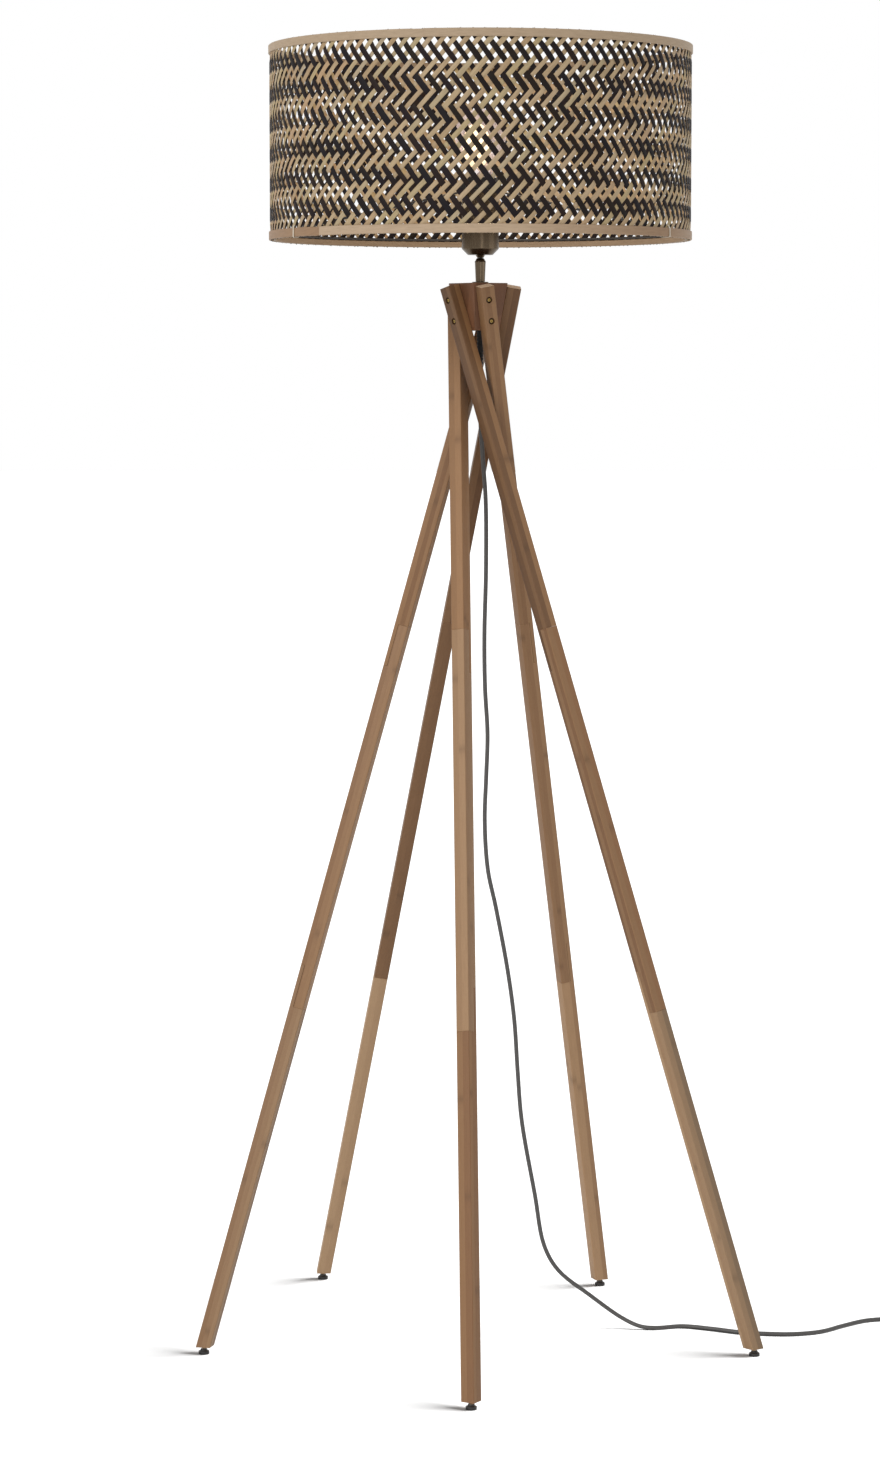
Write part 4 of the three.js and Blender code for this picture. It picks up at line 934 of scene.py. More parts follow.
        # Five upright grooves for the fingers in either side
        grips = []
        for side in (-1, 1):
            for index in range(5):
                spot = Vector((right - 24.2 - index * 2.1, y + side * (width / 2 + 0.1), z)) * MM
                groove = [(0, -9), (0.62, -9), (0.62, 9), (0, 9)]
                grips.append(lathe("Grip", groove, Matrix.Translation(spot), 12))
                cut_with(body, grips[-1])
        apply_modifiers(body, *grips)
        settle(body, plastic, "stand", "switch_plastic", "plug_body")

        # Pins with a sleeve over their first 10 mm and a rounded tip
        low, high = (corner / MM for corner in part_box("plug_pins"))
        radius = (high.z - low.z) / 2
        bare, tip = radius - 0.15, left - low.x
        corners = [(0, -3), (radius, -3), (radius, 10), (bare, 10.1)]
        corners += [(bare, tip - 0.9), (0.9, tip), (0, tip)]
        profile = soften(corners, 0.6)
        parts = []
        for edge in (low.y + radius, high.y - radius):
            place = Matrix.Translation(Vector((left, edge, (low.z + high.z) / 2)) * MM)
            parts.append(lathe("Pin", profile, place @ Matrix.Rotation(-math.pi / 2, 4, "Y"), 32))
        pins = join(parts, "Plug pins")
        settle(pins, brass, "stand", "contact_brass", "plug_pins")
        return body, pins


def join(parts, name):
    """One mesh object from several, in the order given."""
    vertices, faces = [], []
    for part in parts:
        base = len(vertices)
        vertices += [vertex.co.copy() for vertex in part.data.vertices]
        faces += [tuple(base + index for index in face.vertices) for face in part.data.polygons]
        bpy.data.meshes.remove(part.data)
    return mesh_piece(name, vertices, faces)


# How far each of two spliced bars reaches into the seam between them, in millimetres
SEAM = 0.1


class Leg:
    """A leg's own frame: +Z up its length, -Y out of the face the screws enter."""

    def __init__(self, place):
        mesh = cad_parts[f"leg_{place}_upper"].data
        polygons = sorted(mesh.polygons, key=lambda polygon: -polygon.area)
        first = polygons[0].normal.copy()
        second = next(p.normal.copy() for p in polygons if abs(p.normal.dot(first)) < 0.1)
        along = first.cross(second).normalized()
        along = along if along.z > 0 else -along
        highest = max((vertex.co for vertex in mesh.vertices), key=lambda point: point.dot(along))
        radial = Vector((highest.x - AXIS.x, highest.y - AXIS.y, 0))
        outward = max((first, -first, second, -second), key=lambda normal: normal.dot(radial))
        turn = Matrix((along.cross(outward), -outward, along)).transposed()
        local = [turn.transposed() @ vertex.co for vertex in mesh.vertices]
        spans = [(min(p[axis] for p in local), max(p[axis] for p in local)) for axis in range(3)]
        self.half = (spans[0][1] - spans[0][0]) / 2
        origin = turn @ Vector((sum(spans[0]) / 2, sum(spans[1]) / 2, spans[2][1]))
        self.matrix = Matrix.Translation(origin) @ turn.to_4x4()
        self.inverse = self.matrix.inverted()

    def points(self, node):
        return [self.inverse @ vertex.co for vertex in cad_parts[node].data.vertices]

    def middle(self, node):
        """A node's middle and its span along the leg, in the leg's own frame."""
        points = self.points(node)
        spans = [(min(p[axis] for p in points), max(p[axis] for p in points)) for axis in range(3)]
        return Vector([(low + high) / 2 for low, high in spans]), spans[2]

    def outlines(self, node):
        """A piece's outline on its outer and its inner face, each from its foot's left corner."""
        points = self.points(node)
        edge = self.half * 0.9
        ends = {}
        for x in (-1, 1):
            for y in (-1, 1):
                heights = [p.z for p in points if p.x * x > edge and p.y * y > edge]
                ends[x, y] = (min(heights), max(heights))
        outlines = []
        spliced = (not node.endswith("lower"), not node.endswith("upper"))
        for y in (-1, 1):
            outline = []
            for end, sides in ((0, (-1, 1)), (1, (1, -1))):
                shift = (2 * end - 1) * SEAM * MM * spliced[end]
                first, last = (ends[side, y][end] + shift for side in sides)
                outline.append((self.half * sides[0], first))
                if abs(first - last) > 20 * MM:
                    step = next(
                        p.x for p in points
                        if abs(p.x) < edge < abs(p.y) and abs(p.z + shift - last) < 0.05 * MM
                    )
                    outline += [(step, first), (step, last)]
                outline.append((self.half * sides[1], last))
            outlines.append(outline)
        return outlines

    def bar(self, name, node, rounding):
        """A bar with the piece's own stepped ends, sawn across and planed along."""
        outer, inner = self.outlines(node)
        count = len(outer)
        vertices = [Vector((x, -self.half, z)) for x, z in outer]
        vertices += [Vector((x, self.half, z)) for x, z in inner]
        faces = [tuple(range(count)), tuple(reversed(range(count, 2 * count)))]
        for index in range(count):
            following = (index + 1) % count
            faces.append((index, index + count, following + count, following))
        piece = mesh_piece(name, [self.matrix @ vertex for vertex in vertices], faces)
        along = self.matrix.to_3x3().col[2]
        for face in piece.data.polygons:
            if abs(face.normal.dot(along)) > 0.8:
                face.material_index = 1
        self.round_edges(piece, rounding)
        return piece

    def round_edges(self, piece, rounding):
        """Rounds the leg's four long edges, and the sawn edges only a little."""
        mesh = piece.data
        weights = mesh.attributes.new("bevel_weight_edge", "FLOAT", "EDGE")
        solid = bmesh.new()
        solid.from_mesh(mesh)
        for edge in solid.edges:
            ends = [self.inverse @ vertex.co for vertex in edge.verts]
            corner = all(min(abs(p.x), abs(p.y)) > self.half * 0.99 for p in ends)
            lengthwise = abs((ends[1] - ends[0]).normalized().z) > 0.9
            weight = 1.0 if corner and lengthwise else 0.22
            weights.data[edge.index].value = weight if edge.is_convex else 0.0
        solid.free()
        bevel = piece.modifiers.new("Rounding", "BEVEL")
        bevel.limit_method = "WEIGHT"
        bevel.width = rounding
        bevel.segments = 3
        bevel.use_clamp_overlap = False
        bevel.material = 0


class FLOORLAMP_OT_legs(bpy.types.Operator):
    """Builds the five legs of three spliced bamboo bars each"""

    bl_idname = "floorlamp.legs"
    bl_label = "Legs"

    def execute(self, context):
        settings = context.scene.floorlamp_stand
        # Each bar, from upper to lower: how light and how warm it is against the settings'
        # colours, and how much lighter its strips are on the left. The upper bars' darker, warmer
        # tones are partly their own and partly painted shade and warm light under the drum; the
        # lighter left strips are painted light and shade, partly the strips' own tone.
        bars = {
            "right_rear": ((0.68, 0.17, 0), (0.77, 0.14, 0), (1.01, 0.06, 0)),
            "left_rear": ((0.48, 0.23, 0), (0.52, 0.2, 0), (1.37, -0.04, 0)),
            "left": ((0.66, 0.19, 0.04), (0.83, 0.12, 0), (0.83, 0.07, 0.1)),
            "front": ((0.71, 0.2, -0.06), (0.96, 0.06, -0.02), (0.68, 0.21, -0.05)),
            "right": ((0.5, 0.22, -0.26), (0.7, 0.17, -0.18), (1.06, -0.03, 0.24)),
        }
        seed = 0
        for place in LEG_PLACES:
            leg = Leg(place)
            sawn = end_grain(f"Sawn bamboo end, {place}", leg.matrix, settings)
            for part, (tone, warmth, lean) in zip(("upper", "middle", "lower"), bars[place]):
                seed += 1
                node = f"leg_{place}_{part}"
                planed = laminated_bamboo(
                    f"Laminated carbonised bamboo, {place} {part}",
                    leg.matrix,
                    seed,
                    shifted(settings.pale, tone, warmth),
                    shifted(settings.dark, tone, warmth),
                    settings,
                    lean,
                )
                piece = leg.bar(f"Leg {place} {part}", node, settings.corner)
                settle(piece, planed, "stand", "bamboo", node)
                piece.data.materials.append(sawn)
                cutters = []
                if part == "upper":
                    for row in (1, 2):
                        cutters.append(self.pocket(leg, f"hub_screw_{place}_{row}"))
                        cut_with(piece, cutters[-1])
                apply_modifiers(piece, *cutters)
        return {"FINISHED"}

    def pocket(self, leg, screw):
        return lathe(
            "Pocket", [(0, -2.6), (3.7, -2.6), (3.9, 1), (0, 1)], screw_place(leg, screw), 40
        )


def screw_place(leg, screw):
    """Where a hub screw's head meets the leg's outer face, +Z outwards."""
    centre, _ = leg.middle(screw)
    spot = leg.matrix @ Matrix.Translation((0, -leg.half, centre.z))
    return spot @ Matrix.Rotation(math.pi / 2, 4, "X")


class FLOORLAMP_OT_hub(bpy.types.Operator):
    """Builds the hub block, its screws and the glides under the legs"""

    bl_idname = "floorlamp.hub"
    bl_label = "Hub, Screws and Glides"

    def execute(self, context):
        stand = context.scene.floorlamp_stand
        fittings = context.scene.floorlamp_fittings
        dark = shifted(fittings.bronze, 0.9, 0.1)
        bronze = worn_metal("Bronzed brass screws", dark, 0.42, 0.5, 2)
        # Bright brass painted on the screws' recesses as a highlight
        recess_highlight = worn_metal("Brass painted bright as a highlight", fittings.brass, 0.4, 0.3, 1)
        steel = worn_metal("Drawn steel nails", fittings.steel, 0.38, 0.45, 2)
        nylon = moulded_plastic("Moulded nylon glides", fittings.plastic, 0.42, 0.5)
        self.add_hub(stand)
        for place in LEG_PLACES:
            leg = Leg(place)
            for row in (1, 2):
                node = f"hub_screw_{place}_{row}"
                self.add_screw(leg, node, bronze, recess_highlight)
            self.add_glide(place, leg, steel, nylon)
        return {"FINISHED"}

    def add_hub(self, settings):
        node = "hub_block"
        low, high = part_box(node)
        corners = [vertex.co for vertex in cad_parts[node].data.vertices]
        rings = []
        for height in (low.z, high.z):
            reach = [
                (math.hypot(p.x - AXIS.x, p.y - AXIS.y), math.atan2(p.y - AXIS.y, p.x - AXIS.x))
                for p in corners
                if abs(p.z - height) < 0.2 * MM
            ]
            radius = max(pair[0] for pair in reach)
            first = min(turn for r, turn in reach if r > radius - 0.1 * MM)
            radius, height = radius / MM, height / MM
            turns = [first + 2 * math.pi * index / 5 for index in range(5)]
            rings.append([
                (radius * math.cos(turn), radius * math.sin(turn), height) for turn in turns
            ])
        block = loft("Hub block", rings, ON_AXIS)
        turned = Matrix.Translation((AXIS.x, AXIS.y, high.z)) @ Matrix.Rotation(0.3, 4, "Z")
        # The hub's dark tone is partly painted shade from the drum above
        planed = laminated_bamboo(
            "Laminated carbonised bamboo, hub", turned, 40,
            shifted(settings.hub, 1.15), shifted(settings.hub, 0.8), settings,
        )
        sawn = end_grain("Sawn bamboo, hub", turned, settings)
        settle(block, planed, "stand", "bamboo", node)
        block.data.materials.append(sawn)
        bevel = block.modifiers.new("Rounding", "BEVEL")
        bevel.width = 0.8 * MM
        bevel.segments = 3
        bevel.limit_method = "ANGLE"
        # Hole through the block, wide enough at its foot for the relief's flange and the nut
        hole, gap = bore("stem"), 0.3
        step = extent("hub_nut")[1] + gap
        flange = extent("strain_relief")[2] + gap
        under, over = low.z / MM - 5, high.z / MM + 5
        profile = [(0, under), (flange, under), (flange, step), (hole, step), (hole, over)]
        recess = lathe("Recess", [*profile, (0, over)], sides=48)
        cut_with(block, recess)
        apply_modifiers(block, recess)

    def add_screw(self, leg, node, bronze, recess_highlight):
        # Raised head with a turned bright rim and a cross recess, at the bottom of its pocket;
        # the recess and the middle of the dome are painted bright brass as a highlight
        place = screw_place(leg, node)
        head = lathe(
            "Screw " + node[10:],
            [(0, -3.6), (1.9, -3.6), (3.05, -2.2), (3.2, -1.75), (3.05, -1.45), (2.5, -1.0),
             (1.7, -0.62), (0.8, -0.42), (0, -0.38)],
            place,
            48,
        )
        settle(head, bronze, "stand", "bronzed_metal", node)
        turn = Matrix.Rotation(sum(map(ord, node)) % 90 / 57, 4, "Z")
        outline = ((-1.5, -0.28), (1.5, -0.28), (1.5, 0.28), (-1.5, 0.28))
        ends = ((0.5, -2.2), (1.1, 0.4))
        sections = [[(x * scale, y, height) for x, y in outline] for scale, height in ends]
        blades = []
        for quarter in (0, math.pi / 2):
            blades.append(loft("Blade", sections, place @ turn @ Matrix.Rotation(quarter, 4, "Z")))
            cut_with(head, blades[-1])
        apply_modifiers(head, *blades)
        head.data.materials.append(recess_highlight)
        # Painted highlight: the recess and the dome's middle take the bright brass
        inwards = place.inverted()
        for face in head.data.polygons:
            centre = inwards @ face.center
            if centre.xy.length < 1.6 * MM and centre.z > -3 * MM:
                face.material_index = 1

    def add_glide(self, place, leg, steel, nylon):
        node = f"glide_nail_{place}"
        centre, span = leg.middle(node)
        bottom, top = (end / MM for end in span)
        ball, shank = 2.4, 1.2
        neck = math.acos(shank / ball)
        profile = [
            (ball * math.cos(turn), bottom + ball + ball * math.sin(turn))
            for turn in (-math.pi / 2 + (neck + math.pi / 2) * step / 14 for step in range(15))
        ]
        profile[0] = (0, bottom)
        profile += [
            (shank, bottom + 2 * ball + 0.2), (shank, top - 2), (0.3, top - 0.1), (0, top),
        ]
        spot = leg.matrix @ Matrix.Translation((centre.x, centre.y, 0))
        nail = lathe(f"Glide nail {place}", profile, spot, 32)
        settle(nail, steel, "stand", "zinc_steel", node)

        node = f"glide_pad_{place}"
        centre = middle(node)
        low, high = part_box(node)
        height = (high.z - low.z) / MM
        profile = soften(
            [(0, 0), (6.25, 0), (6.25, 3.5), (5.4, 4.1), (4.0, 4.5), (3.75, height - 0.1),
             (2.9, height), (2.45, height - 0.6)], 0.35, 3,
        )[:-1]
        socket = ball + 0.12
        start = math.asin(min((height - 0.8 - 4.8) / socket, 0.9))
        profile += [
            (socket * math.cos(turn), 4.8 + socket * math.sin(turn))
            for turn in (start - (start + math.pi / 2) * step / 10 for step in range(10))
        ]
        profile.append((0, 4.8 - socket))
        spot = Matrix.Translation((centre.x, centre.y, low.z))
        pad = lathe(f"Glide pad {place}", profile, spot, 64)
        settle(pad, nylon, f"glide_pad_{place}", "glide_plastic", node)


class FLOORLAMP_OT_holder(bpy.types.Operator):
    """Builds the turned stem and cup, the lampholder inside and the clamp ring"""

    bl_idname = "floorlamp.holder"
    bl_label = "Stem and Lampholder"

    def execute(self, context):
        fittings = context.scene.floorlamp_fittings
        # Patina clouds stretched 24 times taller than wide paint upright streaks of reflection down
        # the washer, stem and cup
        bronze = worn_metal(
            "Turned brass, antique bronze finish", fittings.bronze, 0.24, 0.4, 3, run=24
        )
        steel = worn_metal("Zinc-plated steel", fittings.steel, 0.4, 0.3, 5)
        brass = worn_metal("Sprung brass", fittings.brass, 0.35, 0.3, 3)
        phenolic = moulded_plastic("Moulded phenolic", fittings.plastic, 0.36, 0.4)
        lead = moulded_plastic("Extruded PVC lead", fittings.plastic, 0.5, 0.6)
        hole = bore("stem")

        bottom, top, rim = extent("stem_washer")
        washer = lathe("Stem washer", band_profile(hole, rim, bottom, top), closed=True)
        settle(washer, bronze, "stand", "bronzed_metal", "stem_washer")

        bottom, top, _ = extent("stem")
        neck = [
            (hole, bottom), (5.2, bottom), (5.5, bottom + 0.3), (5.5, bottom + 0.9),
            (5.42, bottom + 1.0), (6.3, top - 5.4), (6.5, top - 4.8), (6.45, top - 4.3),
            (4.6, top - 0.9), (3.75, top - 0.15), (3.7, top), (hole, top),
        ]
        stem = lathe("Stem", neck, closed=True)
        settle(stem, bronze, "stand", "bronzed_metal", "stem")

        bottom, top, rim = extent("holder_cup")
        wall = 1.2
        outside = soften(
            [(hole, bottom), (3.7, bottom), (5.6, bottom + 3.3), (rim - 7, bottom + 3.3),
             (rim, bottom + 10.3), (rim, top - 0.25), (rim - 0.3, top)], 0.7, 5,
        )
        inside = soften(
            [(rim - wall, top), (rim - wall, bottom + 10.8), (rim - 7.5, bottom + 4.8),
             (hole, bottom + 4.8)], 0.8, 4,
        )
        cup = lathe("Holder cup", outside + inside, sides=128, closed=True)
        settle(cup, bronze, "stand", "bronzed_metal", "holder_cup")

        settle(self.add_clamp_ring(), phenolic, "clamp_ring", "bakelite", "clamp_ring")

        for node, material, slot in (
            ("threaded_tube", steel, "zinc_steel"),
            ("hub_nut", steel, "zinc_steel"),
            ("socket_insert", phenolic, "bakelite"),
            ("centre_contact", brass, "contact_brass"),
            ("inner_lead", lead, "cord_sheath"),
        ):
            dress(node, material)
        self.add_strip_lights(fittings, (washer, stem, cup))
        return {"FINISHED"}

    def add_strip_lights(self, fittings, pieces):
        # Tall narrow softboxes that draw bands of light down the bronze parts alone. Each: where
        # it stands in degrees right of the front, its width in metres and its share of the light
        strips = (("Right_strip", 76, 1.0, 1.7), ("Front_strip", 10, 0.2, 1.0))
        for name, turn, width, share in strips:
            data = bpy.data.lights.new(name, "AREA")
            data.shape = "RECTANGLE"
            data.size, data.size_y = width, 1.6
            height = middle("holder_cup").z
            light = place_light(name, data, fittings.strip_light * share, turn, 0, 1.6, height)
            link_light(light, pieces, False)

    def add_clamp_ring(self):
        # Ring nut with grip ribs all round: its two outermost rows step in between the ribs
        bottom, top, rim = extent("clamp_ring")
        sides, rib, valley = 144, rim - 0.2, rim - 0.9
        hole = rim - 4.4
        profile = [
            (hole, bottom), (rim - 0.8, bottom), (rib, bottom + 0.8), (rib, top - 0.8),
            (valley, top), (hole, top),
        ]
        ring = lathe("Clamp ring", profile, sides=sides, closed=True)
        for index, vertex in enumerate(ring.data.vertices):
            row, side = divmod(index, sides)
            if row in (2, 3) and side % 4 < 2:
                centre = Vector((AXIS.x, AXIS.y, vertex.co.z))
                vertex.co = centre + (vertex.co - centre) * (valley / rib)
        return ring


class FLOORLAMP_OT_bulb(bpy.types.Operator):
    """Builds the lit bulb with its threaded cap"""

    bl_idname = "floorlamp.bulb"
    bl_label = "Bulb"

    def execute(self, context):
        fittings = context.scene.floorlamp_fittings
        nickel = worn_metal("Nickel-plated brass cap", fittings.nickel, 0.28, 0.2, 4)
        glass = clear_glass("Frosted bulb glass", fittings.glass)
        glow = lit_core("Lit filaments", fittings.glow, fittings.glow_strength)

        bottom, top, radius = extent("bulb_cap")
        thread = [(0, bottom), (3.6, bottom), (4.2, bottom + 0.5), (8.6, bottom + 3.2)]
        pitch, height = 3.6, bottom + 4.4
        while height < top - 3:
            for share, dip in ((0, 0.9), (0.25, 0.35), (0.5, 0), (0.75, 0.35)):
                thread.append((radius - 0.05 - dip, height + pitch * share))
            height += pitch
        thread += [(radius - 0.9, height), (radius - 0.4, top - 0.8), (radius - 0.2, top), (0, top)]
        cap = lathe("Bulb cap", thread)
        settle(cap, nickel, "bulb_cap", "bulb_nickel", "bulb_cap")

        bottom, top, ball = extent("bulb_glass")
        centre = top - ball
        shoulder = math.radians(54)
        arc = [
            (ball * math.cos(turn), centre + ball * math.sin(turn))
            for turn in (-shoulder + (math.pi / 2 + shoulder) * step / 36 for step in range(36))
        ]
        neck = max(
            math.hypot(v.co.x - AXIS.x, v.co.y - AXIS.y) / MM
            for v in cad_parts["bulb_glass"].data.vertices
            if v.co.z / MM < bottom + 0.5
        )
        profile = [
            (0, bottom), (neck - 0.4, bottom), (neck, bottom + 0.6), (neck + 0.1, bottom + 3),
            (neck + 0.7, bottom + 7), *arc, (0, top),
        ]
        bulb = lathe("Bulb glass", profile, sides=128)
        settle(bulb, glass, "bulb_glass", "bulb_glass", "bulb_glass")

        # The glow is as tall as the filaments and a little left of the axis, as in the photo. Its
        # light comes from a lamp inside it.
        rise, width = 25.5, 15.5
        foot = bottom + 9
        core = [
            (width * math.sin(turn) ** 0.8, foot + rise * (1 - math.cos(turn)))
            for turn in (math.pi * step / 28 for step in range(1, 28))
        ]
        aside = Matrix.Translation((-4.5 * MM, 0, 0))
        core = lathe("Lit core", [(0, foot), *core, (0, foot + 2 * rise)], aside @ ON_AXIS, 64)
        settle(core, glow, "bulb_glass", "bulb_glass")
        core.visible_shadow = False
        data = bpy.data.lights.new("Bulb light", "POINT")
        data.energy = fittings.bulb_watts
        data.color = fittings.glow
        data.shadow_soft_size = width * MM
        light = show("Bulb light", data)
        light.location = Vector((AXIS.x, AXIS.y, (foot + rise) * MM))
        link_light(light, (bulb, core, cap), True)
        return {"FINISHED"}


# The shade's own numbers in millimetres: its wall's radius at the rims and how far it bellies
# out between them, and how much its upper and its lower edge stay inside the solids' height
WALL_RADIUS = 241.4
BELLY = 1.5
TOP_TRIM, BOTTOM_TRIM = 1.8, 1.2
# How brown the bottom rim's strip is, at turns in radians from its seam
BROWNED = ((1.0, 1.8, 2.6, 4.9, 5.4), (0, 1, 0.3, 0, 1))
# Where the fitter's arms reach the rim, in degrees from the front to the right
ARM_TURNS = (-60, 60, 180)


def on_drum(turn, radius):
    """A point round the axis in millimetres, its turn measured from the front to the right."""
    sideways, forwards = radius * np.sin(turn), radius * np.cos(turn)
    return np.stack((AXIS.x / MM + sideways, AXIS.y / MM - forwards), axis=-1)


def unit(vectors):
    return vectors / np.linalg.norm(vectors, axis=1)[:, None]


class FLOORLAMP_OT_weave(bpy.types.Operator):
    """Weaves the shade's wall from dark and pale bamboo strips"""

    bl_idname = "floorlamp.weave"
    bl_label = "Woven Wall"

    def execute(self, context):
        settings = context.scene.floorlamp_shade
        bottom, top, _ = extent("woven_wall")
        bottom, top = bottom + 0.3 + BOTTOM_TRIM, top - 0.3 - TOP_TRIM
        pitch = 2 * math.pi * WALL_RADIUS / settings.strips
        dark_run = 1 / math.tan(settings.dark_lean)
        pale_run = pitch / (settings.crossing_rise / MM) - dark_run
        random.seed(7)
        # Each way of strips: name, finish, arc that a strip runs for each millimetre of height,
        # the side it starts on, width, colour, tints and gloss
        families = (
            ("Dark strips", "dyed black", -dark_run, 1, settings.dark_width, settings.dark_colour,
             ("#1a1413", "#241a1d", "#1c1b20", "#251d15", "#2d201b", "#171417"), 0.12),
            ("Pale strips", "natural", pale_run, -1, settings.pale_width, settings.pale_colour,
             ("#bb9a78", "#b3a48c", "#b4a276", "#c0a888", "#a98d6b", "#b8a081"), 0.25),
        )
        for family, (name, finish, run, side, width, colour, tints, sheen) in enumerate(families):
            slats = Slats()
            for strip in range(settings.strips):
                number = strip + family * 200
                way = (strip * pitch, run, side)
                self.add_strip(slats, settings, number, way, width / MM, bottom, top)
            spread = [linear(tint) for tint in tints]
            material = split_bamboo(f"Split bamboo, {finish}", colour, spread, 0.5, 0.5, 0.5, sheen)
            settle(slats.piece(name), material, "shade", "woven_bamboo", "woven_wall")
        return {"FINISHED"}

    def add_strip(self, slats, settings, number, way, width, bottom, top):
        offset, run, side = way
        # A strip goes over two crossings and under two, so its places repeat every four. More
        # of them lie where it dives.
        rise = settings.crossing_rise / MM
        level = settings.crossing_height / MM
        shares = (0, 0.5, 1, 1.25, 1.5, 1.75, 2, 2.5, 3, 3.25, 3.5, 3.75)
        first, last = (bottom - level) / rise, (top - level) / rise
        steps = [cycle * 4 + share for cycle in range(-9, 5) for share in shares]
        steps = [step for step in steps if first + 0.1 < step < last - 0.1]
        crossings = np.array([first, *steps, last])
        z = level + crossings * rise
        # Each strip sways in its own long wave and lies a little off its place
        sway = random.uniform(0.25, 0.55)
        phase, length = random.uniform(0, 6.3), random.uniform(70, 160)
        arc = -settings.crossing_offset / MM + offset + (z - level) * run
        arc = arc + sway * np.sin(z / length * 6.3 + phase) + random.gauss(0, 0.35)
        turn = arc / WALL_RADIUS
        # The whole weave drifts slowly, both ways of strips together
        drift = settings.wander / MM
        arc = arc + 1.4 * drift * (
            0.5 * np.sin(3 * turn + 0.6 + z / 70) + 0.3 * np.sin(8 * turn + 4.0 - z / 55)
        )
        free = np.clip((z - bottom) / 20, 0, 1) * np.clip((top - z) / 20, 0, 1)
        z = z + free * drift * (
            0.5 * np.sin(4 * turn + 2.1 + z / 90) + 0.35 * np.sin(9 * turn + 1.0 + z / 60)
        )
        turn = arc / WALL_RADIUS
        # Out over the crossings at 0 and 1, and in under those at 2 and 3
        away = np.abs(np.mod(crossings, 4) - 0.5)
        distance = np.minimum(away, 4 - away)
        swing = 1 - 2 * np.clip((distance - 0.72) / 0.56, 0, 1)
        radius = WALL_RADIUS + BELLY * free + side * settings.weave_depth / MM * swing
        centres = np.concatenate((on_drum(turn, radius), z[:, None]), axis=1)
        outward = np.stack((np.sin(turn), -np.cos(turn), np.zeros_like(turn)), axis=-1)
        along = unit(np.gradient(centres, axis=0))
        across = unit(np.cross(outward, along))
        share = random.uniform(0.86, 1.1)
        widths = width * share * (1 + 0.05 * np.sin(z / 31 + phase * 2))
        thickness = settings.strip_thickness / MM
        slats.add(centres, np.cross(along, across), across, widths, thickness, number)


